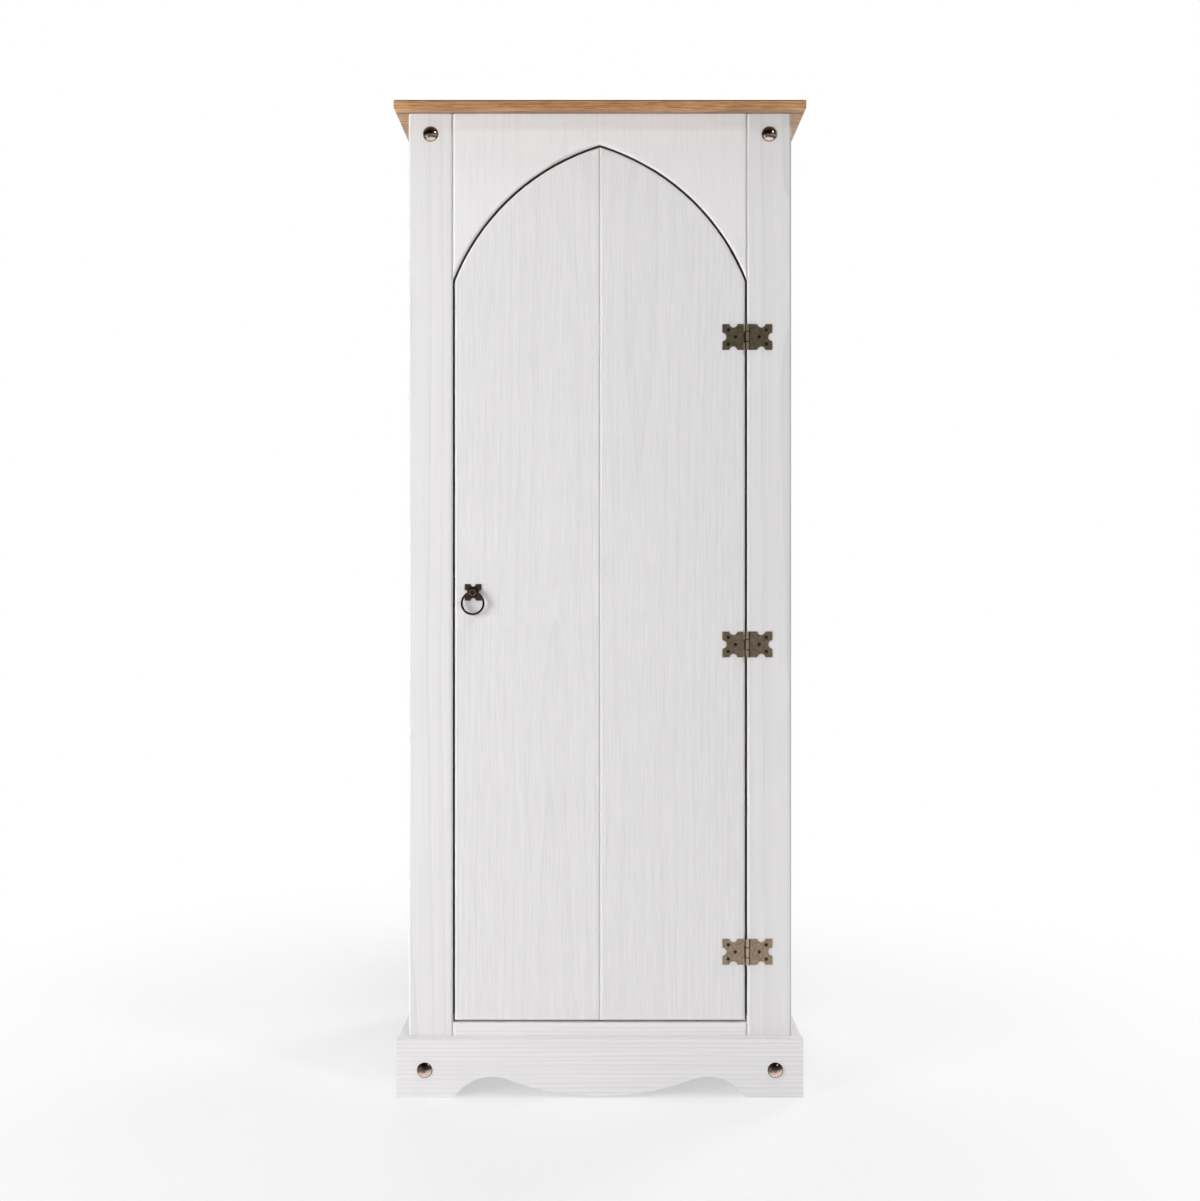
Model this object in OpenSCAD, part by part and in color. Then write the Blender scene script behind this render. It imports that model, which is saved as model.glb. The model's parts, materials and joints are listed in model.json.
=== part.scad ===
// Tall narrow vestry cupboard: a painted pine carcass with a face frame, one pointed-arch door of
// two boards on three notched surface hinges, a ring pull, a waxed top and a scalloped plinth.
// +X is the viewer's right, +Y goes to the back, +Z is up. The origin is on the floor, under the
// middle of the whole piece.

/* [Carcass] */
// Height from the floor to the top
cupboard_h = 1530; // [1480:5:1640]
// Width across the two side panels
body_w = 592; // [570:1:630]
// Depth from the face of the frame to the back edge of the sides
body_d = 410; // [350:5:480]
// Thickness of the side panels
side_t = 15; // [14:0.5:20]
// Thickness of the base panel
base_t = 15; // [14:0.5:20]
// Height of the carcass's lower edge above the floor
carcass_lift = 40; // [38:1:46]

/* [Top] */
// Thickness of the top slab
top_t = 15; // [14:0.5:24]
// How far the top stands out at the front and at each side
top_overhang = 20; // [17:0.5:30]
// Radius of the top's long edges
top_round = 3; // [2:0.25:5]
// Depth, front to back, of the two rails under the top
rail_d = 24; // [20:1:32]
// Height of the two rails under the top
rail_h = 25; // [22:1:32]

/* [Face frame] */
// Width of a stile
stile_w = 68.5; // [60:0.5:76]
// Thickness of the frame's boards
frame_t = 18; // [17:0.5:22]
// Radius on the front edges of the frame
frame_round = 4.25; // [1:0.25:5]
// Height of the bottom rail that shows above the plinth
rail_show = 20; // [14:1:30]

/* [Arch] */
// Radius of the two arcs, along the middle of the gap round the door
arch_radius = 352; // [320:1:420]
// Height of the arch's point above the ends of the arcs
arch_rise = 209; // [180:1:240]
// Wood between the arch's point and the top
head_over_arch = 49.5; // [35:0.5:80]

/* [Door] */
// Thickness of the two door boards
door_t = 16; // [16:0.5:17]
// Gap all round the door
door_gap = 3; // [2.5:0.1:4]
// Radius on the door's front edges
door_round = 4.25; // [1:0.25:5]
// Depth of the V between the boards, half of its width
groove_v = 2.3; // [1:0.1:3.5]
// Length of the tongue between the boards
tongue_l = 6; // [4:0.5:9]
// Thickness of the tongue
tongue_t = 5; // [4:0.25:6]
// Height of each ledge on the door's back
ledge_h = 65; // [50:1:80]
// Thickness of the ledges
ledge_t = 12; // [10:0.5:14]
// Distance from the door's side edges to the ends of the ledges
ledge_inset = 40; // [38:1:60]

/* [Shelves] */
// Clear height of the top compartment; the three below it share the rest
top_space = 415; // [360:1:480]
// Thickness of a shelf
shelf_t = 15; // [14:0.5:20]
// Diameter of a shelf pin
shelf_pin_d = 5; // [4:0.25:7]
// Length of a shelf pin, half of it in the side panel
shelf_pin_l = 18; // [14:0.5:22]

/* [Back] */
// Thickness of the back panel
back_t = 3; // [2.5:0.25:5]
// Distance from the back edge of the sides to the back panel
back_inset = 8; // [7:0.5:12]
// Depth of the grooves that hold the back panel
back_groove = 6; // [4:0.5:8]
// Height of the strip that joins the two halves of the back
strip_h = 16; // [12:1:24]

/* [Plinth] */
// Height of the plinth
plinth_h = 90; // [80:1:105]
// Thickness of its front board
plinth_t = 16; // [14:0.5:20]
// Thickness of its side boards
plinth_side_t = 15; // [13:0.5:18]
// Radius along the plinth's top edges
plinth_round = 2.5; // [1:0.25:4]
// Length of each front foot, from the plinth's end to the scallop
foot_w = 88.3; // [70:0.5:100]
// Length of each foot of a side board
side_foot_w = 62; // [50:1:80]
// Height of the scallop over the floor at its highest
scallop_h = 32.2; // [24:0.2:34]
// Radius of the scoop beside each foot
scoop_r = 69; // [55:0.5:85]
// Height of the scallop's belly over the floor at the middle
belly_lift = 2.2; // [1:0.1:8]
// Side of the square corner blocks inside the plinth
block_w = 35; // [28:1:42]

/* [Hinges] */
// Height of the lowest hinge's middle above the door's lower edge
hinge_low = 106.5; // [70:0.5:150]
// Distance of the highest hinge's middle below the ends of the arcs
hinge_high = 87; // [60:0.5:140]
// Height of a hinge
hinge_h = 39.8; // [34:0.2:46]
// Width of one leaf, from the pin's axis
leaf_w = 38.4; // [34:0.2:44]
// Thickness of the leaves
leaf_t = 1.2; // [1:0.05:1.5]
// Length of the middle knuckle
knuckle_h = 15.6; // [12:0.2:18]
// Outer diameter of the knuckles
knuckle_d = 6.4; // [6:0.1:7.4]
// Diameter of the hinge pin
pin_d = 3.2; // [2.8:0.05:3.4]
// Radius of the notches in the leaves
notch_r = 6.4; // [4:0.1:7]
// Distance from the pin's axis to the leaf's two outer screws
screw_out = 29.4; // [28:0.1:31]
// Distance from the pin's axis to the leaf's inner screw
screw_in = 18.4; // [15:0.1:20]
// Distance between the two outer screws of a leaf
screw_spread = 21.8; // [18:0.2:24]

/* [Ring pull] */
// Height of the pull above the door's lower edge
pull_h = 662; // [500:1:700]
// Distance from the door's free edge to the middle of the pull
pull_in = 28.3; // [24:0.1:30]
// Side of the notched back plate
plate_w = 25.6; // [22:0.2:30]
// Thickness of the back plate
plate_t = 1.5; // [1:0.1:2]
// Radius of the back plate's notches
plate_notch_r = 4; // [2.5:0.1:5]
// Radius of the ring, along the middle of its wire
ring_r = 16.8; // [15:0.2:20]
// Diameter of the ring's wire
ring_wire_d = 3.5; // [3:0.1:3.8]
// Diameter of the post
post_d = 8; // [7.6:0.1:9]
// Diameter of the disc on the post's end
post_head_d = 10.4; // [9.5:0.1:11]
// Distance from the door's face to the ring's wire
ring_out = 7.5; // [7:0.1:9]

/* [Studs] */
// Diameter of the domed studs
stud_d = 24; // [16:0.5:28]
// Height of the studs
stud_h = 6; // [4:0.25:8]
// Distance of the upper studs from the outer edge of the stile
stud_in = 34.2; // [25:0.2:42]
// Distance of the upper studs below the top
stud_drop = 31.6; // [20:0.2:60]
// Distance of the lower studs from the ends of the plinth
plinth_stud_in = 43; // [30:0.5:60]
// Height of the lower studs above the floor
plinth_stud_h = 42; // [34:0.5:60]

/* [Catch] */
// Height of the magnetic catch
catch_h = 46; // [40:1:60]
// Depth of the catch behind the frame
catch_d = 12; // [11:0.5:14]
// How far the catch reaches into the opening
catch_reach = 17; // [16:0.5:19]

/* [Fits] */
// Radial clearance of the hinge pins in the knuckles
pin_fit = 0.05; // [0.03:0.01:0.08]
// Clearance between neighbouring knuckles
knuckle_gap = 0.3; // [0.3:0.05:0.5]
// Clearance of the ring in its hole
ring_fit = 0.3; // [0.3:0.05:0.5]
// Clearance of screws and dowels in their holes
wood_fit = 0.05; // [0.02:0.01:0.1]
// Clearance of a panel in a groove, and of a shelf between the sides
panel_fit = 0.3; // [0.2:0.05:0.6]
// Gap between the catch and its strike plate
catch_gap = 0.3; // [0.3:0.05:0.6]

/* [Hidden] */
$fn = 72;
// The large arcs are drawn finer
arc_fn = 360;

// Colours as the finishes look
paint = [0.88, 0.87, 0.88];
waxed_pine = [0.70, 0.53, 0.38];
bare_pine = [0.84, 0.71, 0.52];
bronze = [0.36, 0.31, 0.25];
dark_bronze = [0.20, 0.16, 0.14];
zinc = [0.72, 0.73, 0.74];
hardboard = [0.62, 0.50, 0.38];
black_plastic = [0.12, 0.12, 0.12];
ferrite = [0.3, 0.3, 0.3];

// Planes that the pieces share
half_w = body_w / 2;
inner_x = half_w - side_t;
top_z = cupboard_h - top_t;
front_reach = max(top_overhang, plinth_t + stud_h);
back_y = (body_d + front_reach) / 2;
face_y = back_y - body_d;
frame_back_y = face_y + frame_t;
door_back_y = face_y + door_t;
back_panel_y = back_y - back_inset - back_t;
opening_z = plinth_h + rail_show;
back_split_z = (opening_z + top_z) / 2;
cut = 1;

// Opening, door and arch: each arc runs through the jamb and the arch's point, and its centre
// lies past the middle line, so that the two arcs meet in a point
opening_half = half_w - stile_w;
door_half = opening_half - door_gap;
door_z = opening_z + door_gap;
jamb_x = opening_half - door_gap / 2;
arch_chord = norm([jamb_x, arch_rise]);
arch_depth = sqrt(arch_radius * arch_radius - arch_chord * arch_chord / 4);
apex_z = top_z - head_over_arch;
arch_x = arch_depth * arch_rise / arch_chord - jamb_x / 2;
arch_z = apex_z - arch_rise / 2 - arch_depth * jamb_x / arch_chord;
spring_z = apex_z - arch_rise;
arch_margin = 20;

// Hinges: the pin's axis stands over the edge of the right stile, with the knuckles just clear of
// the wood. Each leaf is cut back beside the other leaf's knuckles: widely on the door, where white
// paint shows through, and by a hair on the frame.
axis_x = opening_half;
knuckle_lift = 0.05;
axis_y = face_y - knuckle_d / 2 - knuckle_lift;
hinge_low_z = door_z + hinge_low;
hinge_high_z = spring_z - hinge_high;
hinge_zs = [hinge_low_z, (hinge_low_z + hinge_high_z) / 2, hinge_high_z];
door_knuckle_room = 2.7;
frame_knuckle_room = 0.6;
door_knuckle_clear = knuckle_d / 2 + door_knuckle_room;
frame_knuckle_clear = knuckle_d / 2 + frame_knuckle_room;
leaf_holes = [[screw_out, screw_spread / 2], [screw_out, -screw_spread / 2], [screw_in, 0]];
leaf_hole_fit = 0.2;
leaf_notch_out = 1;
leaf_notch_in = 0.5;
leaf_notch_x = (leaf_w + door_knuckle_clear) / 2 - leaf_notch_in;
leaf_screw_r = 1.5;
leaf_screw_l = 14;
leaf_screw_head_r = 2.7;
leaf_screw_head_h = 1.1;

// Ring pull
pull_x = -(door_half - pull_in);
pull_z = door_z + pull_h;
ring_y = face_y - ring_out;
ring_z = pull_z - ring_r;
post_cap_t = 2;
post_cap_wall = 1.1;
post_cap_y = ring_y - ring_wire_d / 2 - ring_fit - post_cap_wall;
pull_screw_r = 2;
pull_screw_bite = 2.6;
pull_screw_head_r = 4;
pull_screw_head_h = 2.4;
pull_screw_end = 0.3;
plate_hole_fit = 0.2;

// Shelves: the front edges stay behind the ledges and the catch
shelf_front_gap = 2;
shelf_back_gap = 3;
shelf_front_y = max(door_back_y + ledge_t, frame_back_y + catch_d) + shelf_front_gap;
shelf_back_y = back_panel_y - shelf_back_gap;
shelf_space = (top_z - opening_z - top_space) / 3 - shelf_t;
shelf_zs = [for (i = [0:2]) opening_z + shelf_space + i * (shelf_space + shelf_t)];
shelf_pin_in = 36;
shelf_pin_ys = [shelf_front_y + shelf_pin_in, shelf_back_y - shelf_pin_in];

// Plinth
plinth_front_y = face_y - plinth_t;
plinth_side_x = half_w + plinth_side_t;
plinth_lip = 1;
plinth_half = plinth_side_x + plinth_lip;
plinth_screw_z = (carcass_lift + plinth_h) / 2;
block_foot = 3;

// Fasteners
dowel_r = 4;
dowel_l = 30;
csk_r = 1.9;
csk_head_r = 3.8;
csk_head_h = 2.6;
csk_tip_r = 0.4;
csk_tip_l = 3;
strike_t = 1.2;
strike_screw_l = 12;

// Radius on the edges of the boards that stay out of sight
plain_round = 2;

// Small helpers

module box(low, high) translate(low) cube(high - low);

module along_x(x0, x1) translate([x0, 0, 0]) rotate([90, 0, 90]) linear_extrude(x1 - x0) children();

module along_y(y0, y1) translate([0, y1, 0]) rotate([90, 0, 0]) linear_extrude(y1 - y0) children();

module along_z(z0, z1) translate([0, 0, z0]) linear_extrude(z1 - z0) children();

// Both halves of a pair that mirror each other about the middle plane
module both_sides() for (flip = [0, 1]) mirror([flip, 0, 0]) children();

// Turns what points down (-Z) so that it points to a side of the cupboard
function aim(way) =
    way == "back" ? [90, 0, 0] :
    way == "front" ? [-90, 0, 0] :
    way == "right" ? [0, -90, 0] :
    way == "left" ? [0, 90, 0] : [180, 0, 0];

module aimed(at, way) translate(at) rotate(aim(way)) children();

// What a sanded arris takes off an outside corner at the origin, with the wood at -x and -y.
// The arc crosses the faces at a shallow angle, as a hand-eased edge does.
module arris_2d(r) {
    c = 0.985 * r;
    difference() {
        translate([-c, -c]) square(c + cut);
        translate([-c, -c]) circle(r);
    }
}

// Section of a board, from corner to corner, with the named corners eased
module board_2d(low, high, r, corners) {
    difference() {
        translate(low) square(high - low);
        for (c = corners)
            translate([c.x < 0 ? low.x : high.x, c.y < 0 ? low.y : high.y])
                mirror([c.x < 0 ? 1 : 0, 0])
                    mirror([0, c.y < 0 ? 1 : 0])
                        arris_2d(r);
    }
}

// Screw with a flat head let in flush; a fit above 0 gives its hole instead
module csk_screw(len, fit = 0) {
    top = fit > 0 ? cut : 0;
    rotate_extrude() polygon([
        [0, top], [csk_head_r + fit, top], [csk_head_r + fit, 0], [csk_r + fit, -csk_head_h],
        [csk_r + fit, csk_tip_l - len - fit], [csk_tip_r + fit, -len - fit], [0, -len - fit]
    ]);
}

// Screw with a low domed head; a fit above 0 gives the hole for its shank
module dome_screw(r, len, head_r, head_h, fit = 0) {
    top = fit > 0 ? cut : head_h / 4;
    tip = 2 * r;
    dome_r = (head_r * head_r + head_h * head_h) / (2 * head_h);
    rotate_extrude() union() {
        polygon([
            [0, top], [r + fit, top], [r + fit, tip - len - fit], [r / 4 + fit, -len - fit],
            [0, -len - fit]
        ]);
        if (fit == 0)
            intersection() {
                translate([0, head_h - dome_r]) circle(dome_r);
                square([head_r, head_h]);
            }
    }
}

// A dowel along -Z, centred on the joint between the two pieces, or the hole for it
module dowel(deep, fit = 0) {
    translate([0, 0, deep - dowel_l - 2 * fit]) cylinder(r = dowel_r + fit, h = dowel_l + 4 * fit);
}

// Region inside the two arcs, drawn in the plane of the door
module arch_lens_2d(r) {
    intersection() {
        translate([-arch_x, arch_z]) circle(r, $fn = arc_fn);
        translate([arch_x, arch_z]) circle(r, $fn = arc_fn);
    }
}

// Eased edge along the right-hand arc. Outward is 1 where the wood lies inside the arc.
module arch_arris(r, outward, round_r) {
    intersection() {
        translate([-arch_x, face_y, arch_z])
            rotate([90, 0, 0])
                rotate_extrude($fn = arc_fn)
                    translate([r, 0])
                        mirror([outward > 0 ? 0 : 1, 0])
                            arris_2d(round_r);
        box([0, face_y - arch_margin, arch_z], [jamb_x + arch_margin, face_y + arch_margin, cupboard_h]);
    }
}

// Carcass

module top_panel() {
    y0 = face_y - top_overhang;
    w = half_w + top_overhang;
    color(waxed_pine) difference() {
        intersection() {
            along_x(-w, w) board_2d([y0, top_z], [back_y, cupboard_h], top_round, [[-1, -1], [-1, 1]]);
            along_y(y0, back_y)
                board_2d([-w, top_z], [w, cupboard_h], top_round, [[-1, -1], [-1, 1], [1, -1], [1, 1]]);
        }
        top_screw_set(wood_fit);
        top_dowel_set(wood_fit);
    }
}

module side_panel() {
    groove_x = inner_x + back_groove;
    color(paint) difference() {
        along_z(carcass_lift, top_z) difference() {
            translate([inner_x, frame_back_y]) square([side_t, back_y - frame_back_y]);
            translate([inner_x - cut, back_panel_y - panel_fit / 2])
                square([groove_x - inner_x + cut, back_t + panel_fit]);
        }
        carcass_dowel_set(wood_fit);
        top_dowel_set(wood_fit);
        stile_dowel_set(wood_fit);
        shelf_pin_set(wood_fit);
        plinth_side_screw_set(wood_fit);
    }
}

module left_side_panel() mirror([1, 0, 0]) side_panel();

module right_side_panel() side_panel();

module stile() {
    color(paint) difference() {
        along_z(carcass_lift, top_z)
            board_2d([opening_half, face_y], [half_w, frame_back_y], frame_round, [[-1, -1], [1, -1]]);
        stile_dowel_set(wood_fit);
        frame_dowel_set(wood_fit);
        upper_stud_set(wood_fit);
    }
}

module left_stile() {
    difference() {
        mirror([1, 0, 0]) stile();
        catch_screw_set(wood_fit);
    }
}

module right_stile() {
    difference() {
        stile();
        hinge_screw_set(1, wood_fit);
    }
}

module arch_panel() {
    low = spring_z - arch_margin;
    color(paint) difference() {
        along_y(face_y, frame_back_y) difference() {
            translate([-opening_half, low]) square([2 * opening_half, top_z - low]);
            arch_lens_2d(arch_radius + door_gap / 2);
        }
        both_sides() arch_arris(arch_radius + door_gap / 2, -1, frame_round);
        both_sides()
            translate([opening_half, face_y, 0])
                along_z(low - cut, top_z + cut)
                    mirror([0, 1]) arris_2d(frame_round);
        frame_dowel_set(wood_fit);
    }
}

module bottom_rail() {
    color(paint) difference() {
        intersection() {
            along_z(carcass_lift, opening_z)
                board_2d([-opening_half, face_y], [opening_half, frame_back_y], frame_round,
                    [[-1, -1], [1, -1]]);
            along_x(-opening_half, opening_half)
                board_2d([face_y, carcass_lift], [frame_back_y, opening_z], frame_round, [[-1, 1]]);
        }
        frame_dowel_set(wood_fit);
        plinth_front_screw_set(wood_fit);
    }
}

module base_panel() {
    color(paint) difference() {
        box([-inner_x, frame_back_y, opening_z - base_t], [inner_x, back_panel_y, opening_z]);
        both_sides() carcass_dowel_set(wood_fit);
        back_nail_set(wood_fit);
    }
}

module under_top_rail(y0) {
    color(bare_pine) difference() {
        along_x(-inner_x, inner_x)
            board_2d([y0, top_z - rail_h], [y0 + rail_d, top_z], plain_round, [[-1, -1], [1, -1]]);
        top_screw_set(wood_fit);
        both_sides() carcass_dowel_set(wood_fit);
        back_nail_set(wood_fit);
    }
}

module top_front_rail() under_top_rail(frame_back_y);

module top_back_rail() under_top_rail(back_panel_y - rail_d);

// Back: two halves in the grooves of the sides, with a strip between them

strip_web = 1.2;
strip_flange = 1;

module back_panel(z0, z1) {
    edge_x = inner_x + back_groove - panel_fit;
    color(hardboard) difference() {
        box([-edge_x, back_panel_y, z0], [edge_x, back_panel_y + back_t, z1]);
        back_nail_set(wood_fit);
    }
}

module back_panel_lower() back_panel(opening_z - base_t, back_split_z - strip_web / 2);

module back_panel_upper() back_panel(back_split_z + strip_web / 2, top_z);

module back_joining_strip() {
    x = inner_x - panel_fit;
    y1 = back_panel_y + back_t;
    color(paint) along_x(-x, x) union() {
        for (y = [back_panel_y - strip_flange, y1])
            translate([y, back_split_z - strip_h / 2]) square([strip_flange, strip_h]);
        translate([back_panel_y - strip_flange / 2, back_split_z - strip_web / 2])
            square([back_t + strip_flange, strip_web]);
    }
}

// Shelves on pins

module shelf(i) {
    x = inner_x - panel_fit;
    z = shelf_zs[i];
    color(paint) along_x(-x, x)
        board_2d([shelf_front_y, z], [shelf_back_y, z + shelf_t], plain_round, [[-1, -1], [-1, 1]]);
}

module shelf_lower() shelf(0);

module shelf_middle() shelf(1);

module shelf_upper() shelf(2);

module shelf_pin_set(fit = 0) {
    r = shelf_pin_d / 2;
    for (z = shelf_zs, y = shelf_pin_ys)
        translate([inner_x - shelf_pin_l / 2, y, z - r - wood_fit])
            rotate([0, 90, 0]) cylinder(r = r + fit, h = shelf_pin_l + 4 * fit);
}

module shelf_pins() color(zinc) both_sides() shelf_pin_set();

// Plinth: the front board's foot, scoop and belly are arcs that run into one another

// The belly's arc is a little flatter than the one that just touches the scoops
belly_flatter = 4;

// Everything under the scallop between two feet, as a region that starts below the floor
module scallop_2d(half) {
    rise = scallop_h - scoop_r;
    scoop_x = half - sqrt(scoop_r * scoop_r - rise * rise);
    drop = belly_lift - rise;
    touch_r = (scoop_x * scoop_x + drop * drop - scoop_r * scoop_r) / (2 * (scallop_h - belly_lift));
    belly_r = touch_r + belly_flatter;
    join = scoop_r / (scoop_r + belly_r);
    join_z = rise + join * (belly_lift + belly_r - rise);
    difference() {
        translate([-scoop_x, -cut]) square([2 * scoop_x, join_z + cut]);
        translate([0, belly_lift + belly_r]) circle(belly_r, $fn = arc_fn);
    }
    for (side = [-1, 1])
        translate([side * scoop_x, rise]) circle(scoop_r, $fn = arc_fn);
}

module plinth_front() {
    color(paint) difference() {
        intersection() {
            along_y(plinth_front_y, face_y) difference() {
                translate([-plinth_half, 0]) square([2 * plinth_half, plinth_h]);
                scallop_2d(plinth_half - foot_w);
            }
            along_x(-plinth_half, plinth_half)
                board_2d([plinth_front_y, 0], [face_y, plinth_h], plinth_round, [[-1, 1]]);
        }
        lower_stud_set(wood_fit);
        plinth_front_screw_set(wood_fit);
    }
}

module plinth_side() {
    len = back_y - face_y;
    color(paint) difference() {
        intersection() {
            along_x(half_w, plinth_side_x) difference() {
                translate([face_y, 0]) square([len, plinth_h]);
                translate([face_y + len / 2, 0]) scallop_2d(len / 2 - side_foot_w);
            }
            along_y(face_y, back_y)
                board_2d([half_w, 0], [plinth_side_x, plinth_h], plinth_round, [[1, 1]]);
        }
        plinth_side_screw_set(wood_fit);
    }
}

module plinth_left() mirror([1, 0, 0]) plinth_side();

module plinth_right() plinth_side();

module plinth_back() {
    color(paint)
        box([-inner_x, back_y - plinth_t, 0], [inner_x, back_y, opening_z - base_t]);
}

module plinth_corner_blocks() {
    x0 = half_w - block_w;
    color(bare_pine) both_sides() for (y = [face_y, back_y - plinth_t - block_w])
        box([x0, y, block_foot], [half_w, y + block_w, carcass_lift]);
}

// Dowels, screws and nails: each set draws its fasteners, or their holes when given a fit

// How deep a dowel goes into the piece that it comes up against
side_dowel_in = 10;
top_dowel_in = 8;
base_dowel_end = 45;
top_dowel_end = 90;
base_dowel_ys = [
    frame_back_y + base_dowel_end, (frame_back_y + back_panel_y) / 2, back_panel_y - base_dowel_end
];

module carcass_dowel_set(fit = 0) {
    at = [
        for (y = base_dowel_ys) [inner_x, y, opening_z - base_t / 2],
        [inner_x, frame_back_y + rail_d / 2, top_z - rail_h / 2],
        [inner_x, back_panel_y - rail_d / 2, top_z - rail_h / 2]
    ];
    for (p = at) aimed(p, "right") dowel(dowel_l - side_dowel_in, fit);
}

module top_dowel_set(fit = 0) {
    for (y = [frame_back_y + top_dowel_end, back_panel_y - top_dowel_end], side = [-1, 1])
        aimed([side * (half_w - side_t / 2), y, top_z], "up") dowel(dowel_l - top_dowel_in, fit);
}

module carcass_dowels() {
    color(bare_pine) {
        both_sides() carcass_dowel_set();
        top_dowel_set();
    }
}

stile_dowel_zs = [for (k = [0.06, 0.36, 0.66, 0.95]) carcass_lift + k * (top_z - carcass_lift)];

module stile_dowel_set(fit = 0) {
    for (z = stile_dowel_zs)
        aimed([half_w - side_t / 2, frame_back_y, z], "front") dowel(dowel_l - side_dowel_in, fit);
}

module stile_dowels() color(bare_pine) both_sides() stile_dowel_set();

frame_dowel_zs = [plinth_screw_z, top_z - 30, top_z - 130];

module frame_dowel_set(fit = 0) {
    y = face_y + frame_t / 2;
    for (z = frame_dowel_zs, side = [-1, 1])
        translate([side * opening_half, y, z])
            rotate([0, 90, 0])
                cylinder(r = dowel_r + fit, h = dowel_l + 4 * fit, center = true);
}

module frame_dowels() color(bare_pine) frame_dowel_set();

top_screw_bite = 10;
top_screw_end = 80;

module top_screw_set(fit = 0) {
    ys = [frame_back_y + rail_d / 2, back_panel_y - rail_d / 2];
    for (x = [-1, 0, 1] * (inner_x - top_screw_end), y = ys)
        aimed([x, y, top_z - rail_h], "up") csk_screw(rail_h + top_screw_bite, fit);
}

module top_screws() color(zinc) top_screw_set();

plinth_screw_bite = 11;

module plinth_front_screw_set(fit = 0) {
    for (x = [-0.75, -0.25, 0.25, 0.75] * opening_half)
        aimed([x, frame_back_y, plinth_screw_z], "front") csk_screw(frame_t + plinth_screw_bite, fit);
}

module plinth_side_screw_set(fit = 0) {
    for (k = [0.15, 0.5, 0.85])
        aimed([inner_x, frame_back_y + k * (back_panel_y - frame_back_y), plinth_screw_z], "right")
            csk_screw(side_t + plinth_screw_bite, fit);
}

module plinth_screws() {
    color(zinc) {
        plinth_front_screw_set();
        both_sides() plinth_side_screw_set();
    }
}

nail_r = 0.8;
nail_l = 18;
nail_head_r = 2.2;
nail_head_h = 0.8;

// The nails stand between the screws that go up through the rail
module back_nail_set(fit = 0) {
    for (k = [-0.9, -0.3, 0.3, 0.9], z = [opening_z - base_t / 2, top_z - rail_h / 2])
        aimed([k * inner_x, back_panel_y + back_t, z], "front")
            dome_screw(nail_r, nail_l, nail_head_r, nail_head_h, fit);
}

module back_nails() color(zinc) back_nail_set();

// Domed studs

stud_shank_r = 1.5;
stud_shank_l = 12;

module stud_set(at, fit) {
    for (p = at) aimed(p, "back") dome_screw(stud_shank_r, stud_shank_l, stud_d / 2, stud_h, fit);
}

module upper_stud_set(fit = 0) {
    stud_set([for (side = [-1, 1]) [side * (half_w - stud_in), face_y, top_z - stud_drop]], fit);
}

module lower_stud_set(fit = 0) {
    x = plinth_half - plinth_stud_in;
    stud_set([for (side = [-1, 1]) [side * x, plinth_front_y, plinth_stud_h]], fit);
}

module stile_studs() color(bronze) upper_stud_set();

module plinth_studs() color(bronze) lower_stud_set();

// Hinges: a notched leaf with its knuckles rolled round the pin

// Outline of a leaf, with the pin's axis at x = 0. The inner notch is for the other leaf's
// middle knuckle; without it the leaf carries that knuckle.
module leaf_2d(inner_notch) {
    h = hinge_h / 2;
    k = knuckle_h / 2;
    difference() {
        translate([0, -h]) square([leaf_w, 2 * h]);
        translate([leaf_w, 0]) circle(notch_r);
        for (side = [-1, 1])
            translate([leaf_notch_x, side * (h + leaf_notch_out)]) circle(notch_r);
        for (p = leaf_holes) translate(p) circle(leaf_screw_r + leaf_hole_fit);
        if (inner_notch)
            translate([-cut, -k - knuckle_gap])
                square([frame_knuckle_clear + cut, 2 * (k + knuckle_gap)]);
        else
            for (side = [-1, 1])
                translate([-cut, side < 0 ? -h - cut : k])
                    square([door_knuckle_clear + cut, h - k + cut]);
    }
}

module leaf(inner_notch) {
    h = hinge_h / 2;
    k = knuckle_h / 2;
    color(bronze) difference() {
        union() {
            along_y(face_y - leaf_t, face_y) leaf_2d(inner_notch);
            translate([0, axis_y, 0])
                if (inner_notch)
                    for (side = [-1, 1])
                        translate([0, 0, side < 0 ? -h : k + knuckle_gap])
                            cylinder(d = knuckle_d, h = h - k - knuckle_gap);
                else
                    translate([0, 0, -k]) cylinder(d = knuckle_d, h = 2 * k);
        }
        translate([0, axis_y, -h - cut]) cylinder(r = pin_d / 2 + pin_fit, h = hinge_h + 2 * cut);
    }
}

module frame_leaf(i) translate([axis_x, 0, hinge_zs[i]]) leaf(true);

module door_leaf(i) translate([axis_x, 0, hinge_zs[i]]) mirror([1, 0, 0]) leaf(false);

module hinge_pin(i) {
    color(bronze) translate([axis_x, axis_y, hinge_zs[i] - hinge_h / 2]) cylinder(d = pin_d, h = hinge_h);
}

module lower_hinge_frame_leaf() frame_leaf(0);

module middle_hinge_frame_leaf() frame_leaf(1);

module upper_hinge_frame_leaf() frame_leaf(2);

module lower_hinge_door_leaf() door_leaf(0);

module middle_hinge_door_leaf() door_leaf(1);

module upper_hinge_door_leaf() door_leaf(2);

module lower_hinge_pin() hinge_pin(0);

module middle_hinge_pin() hinge_pin(1);

module upper_hinge_pin() hinge_pin(2);

// Screws of one side of all the hinges: side is 1 on the frame and -1 on the door
module hinge_screw_set(side, fit = 0) {
    for (z = hinge_zs, p = leaf_holes)
        aimed([axis_x + side * p.x, face_y - leaf_t, z + p.y], "back")
            dome_screw(leaf_screw_r, leaf_screw_l, leaf_screw_head_r, leaf_screw_head_h, fit);
}

module hinge_frame_screws() color(dark_bronze) hinge_screw_set(1);

module hinge_door_screws() color(dark_bronze) hinge_screw_set(-1);

// Magnetic catch behind the left stile, and its strike plate on the door

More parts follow.
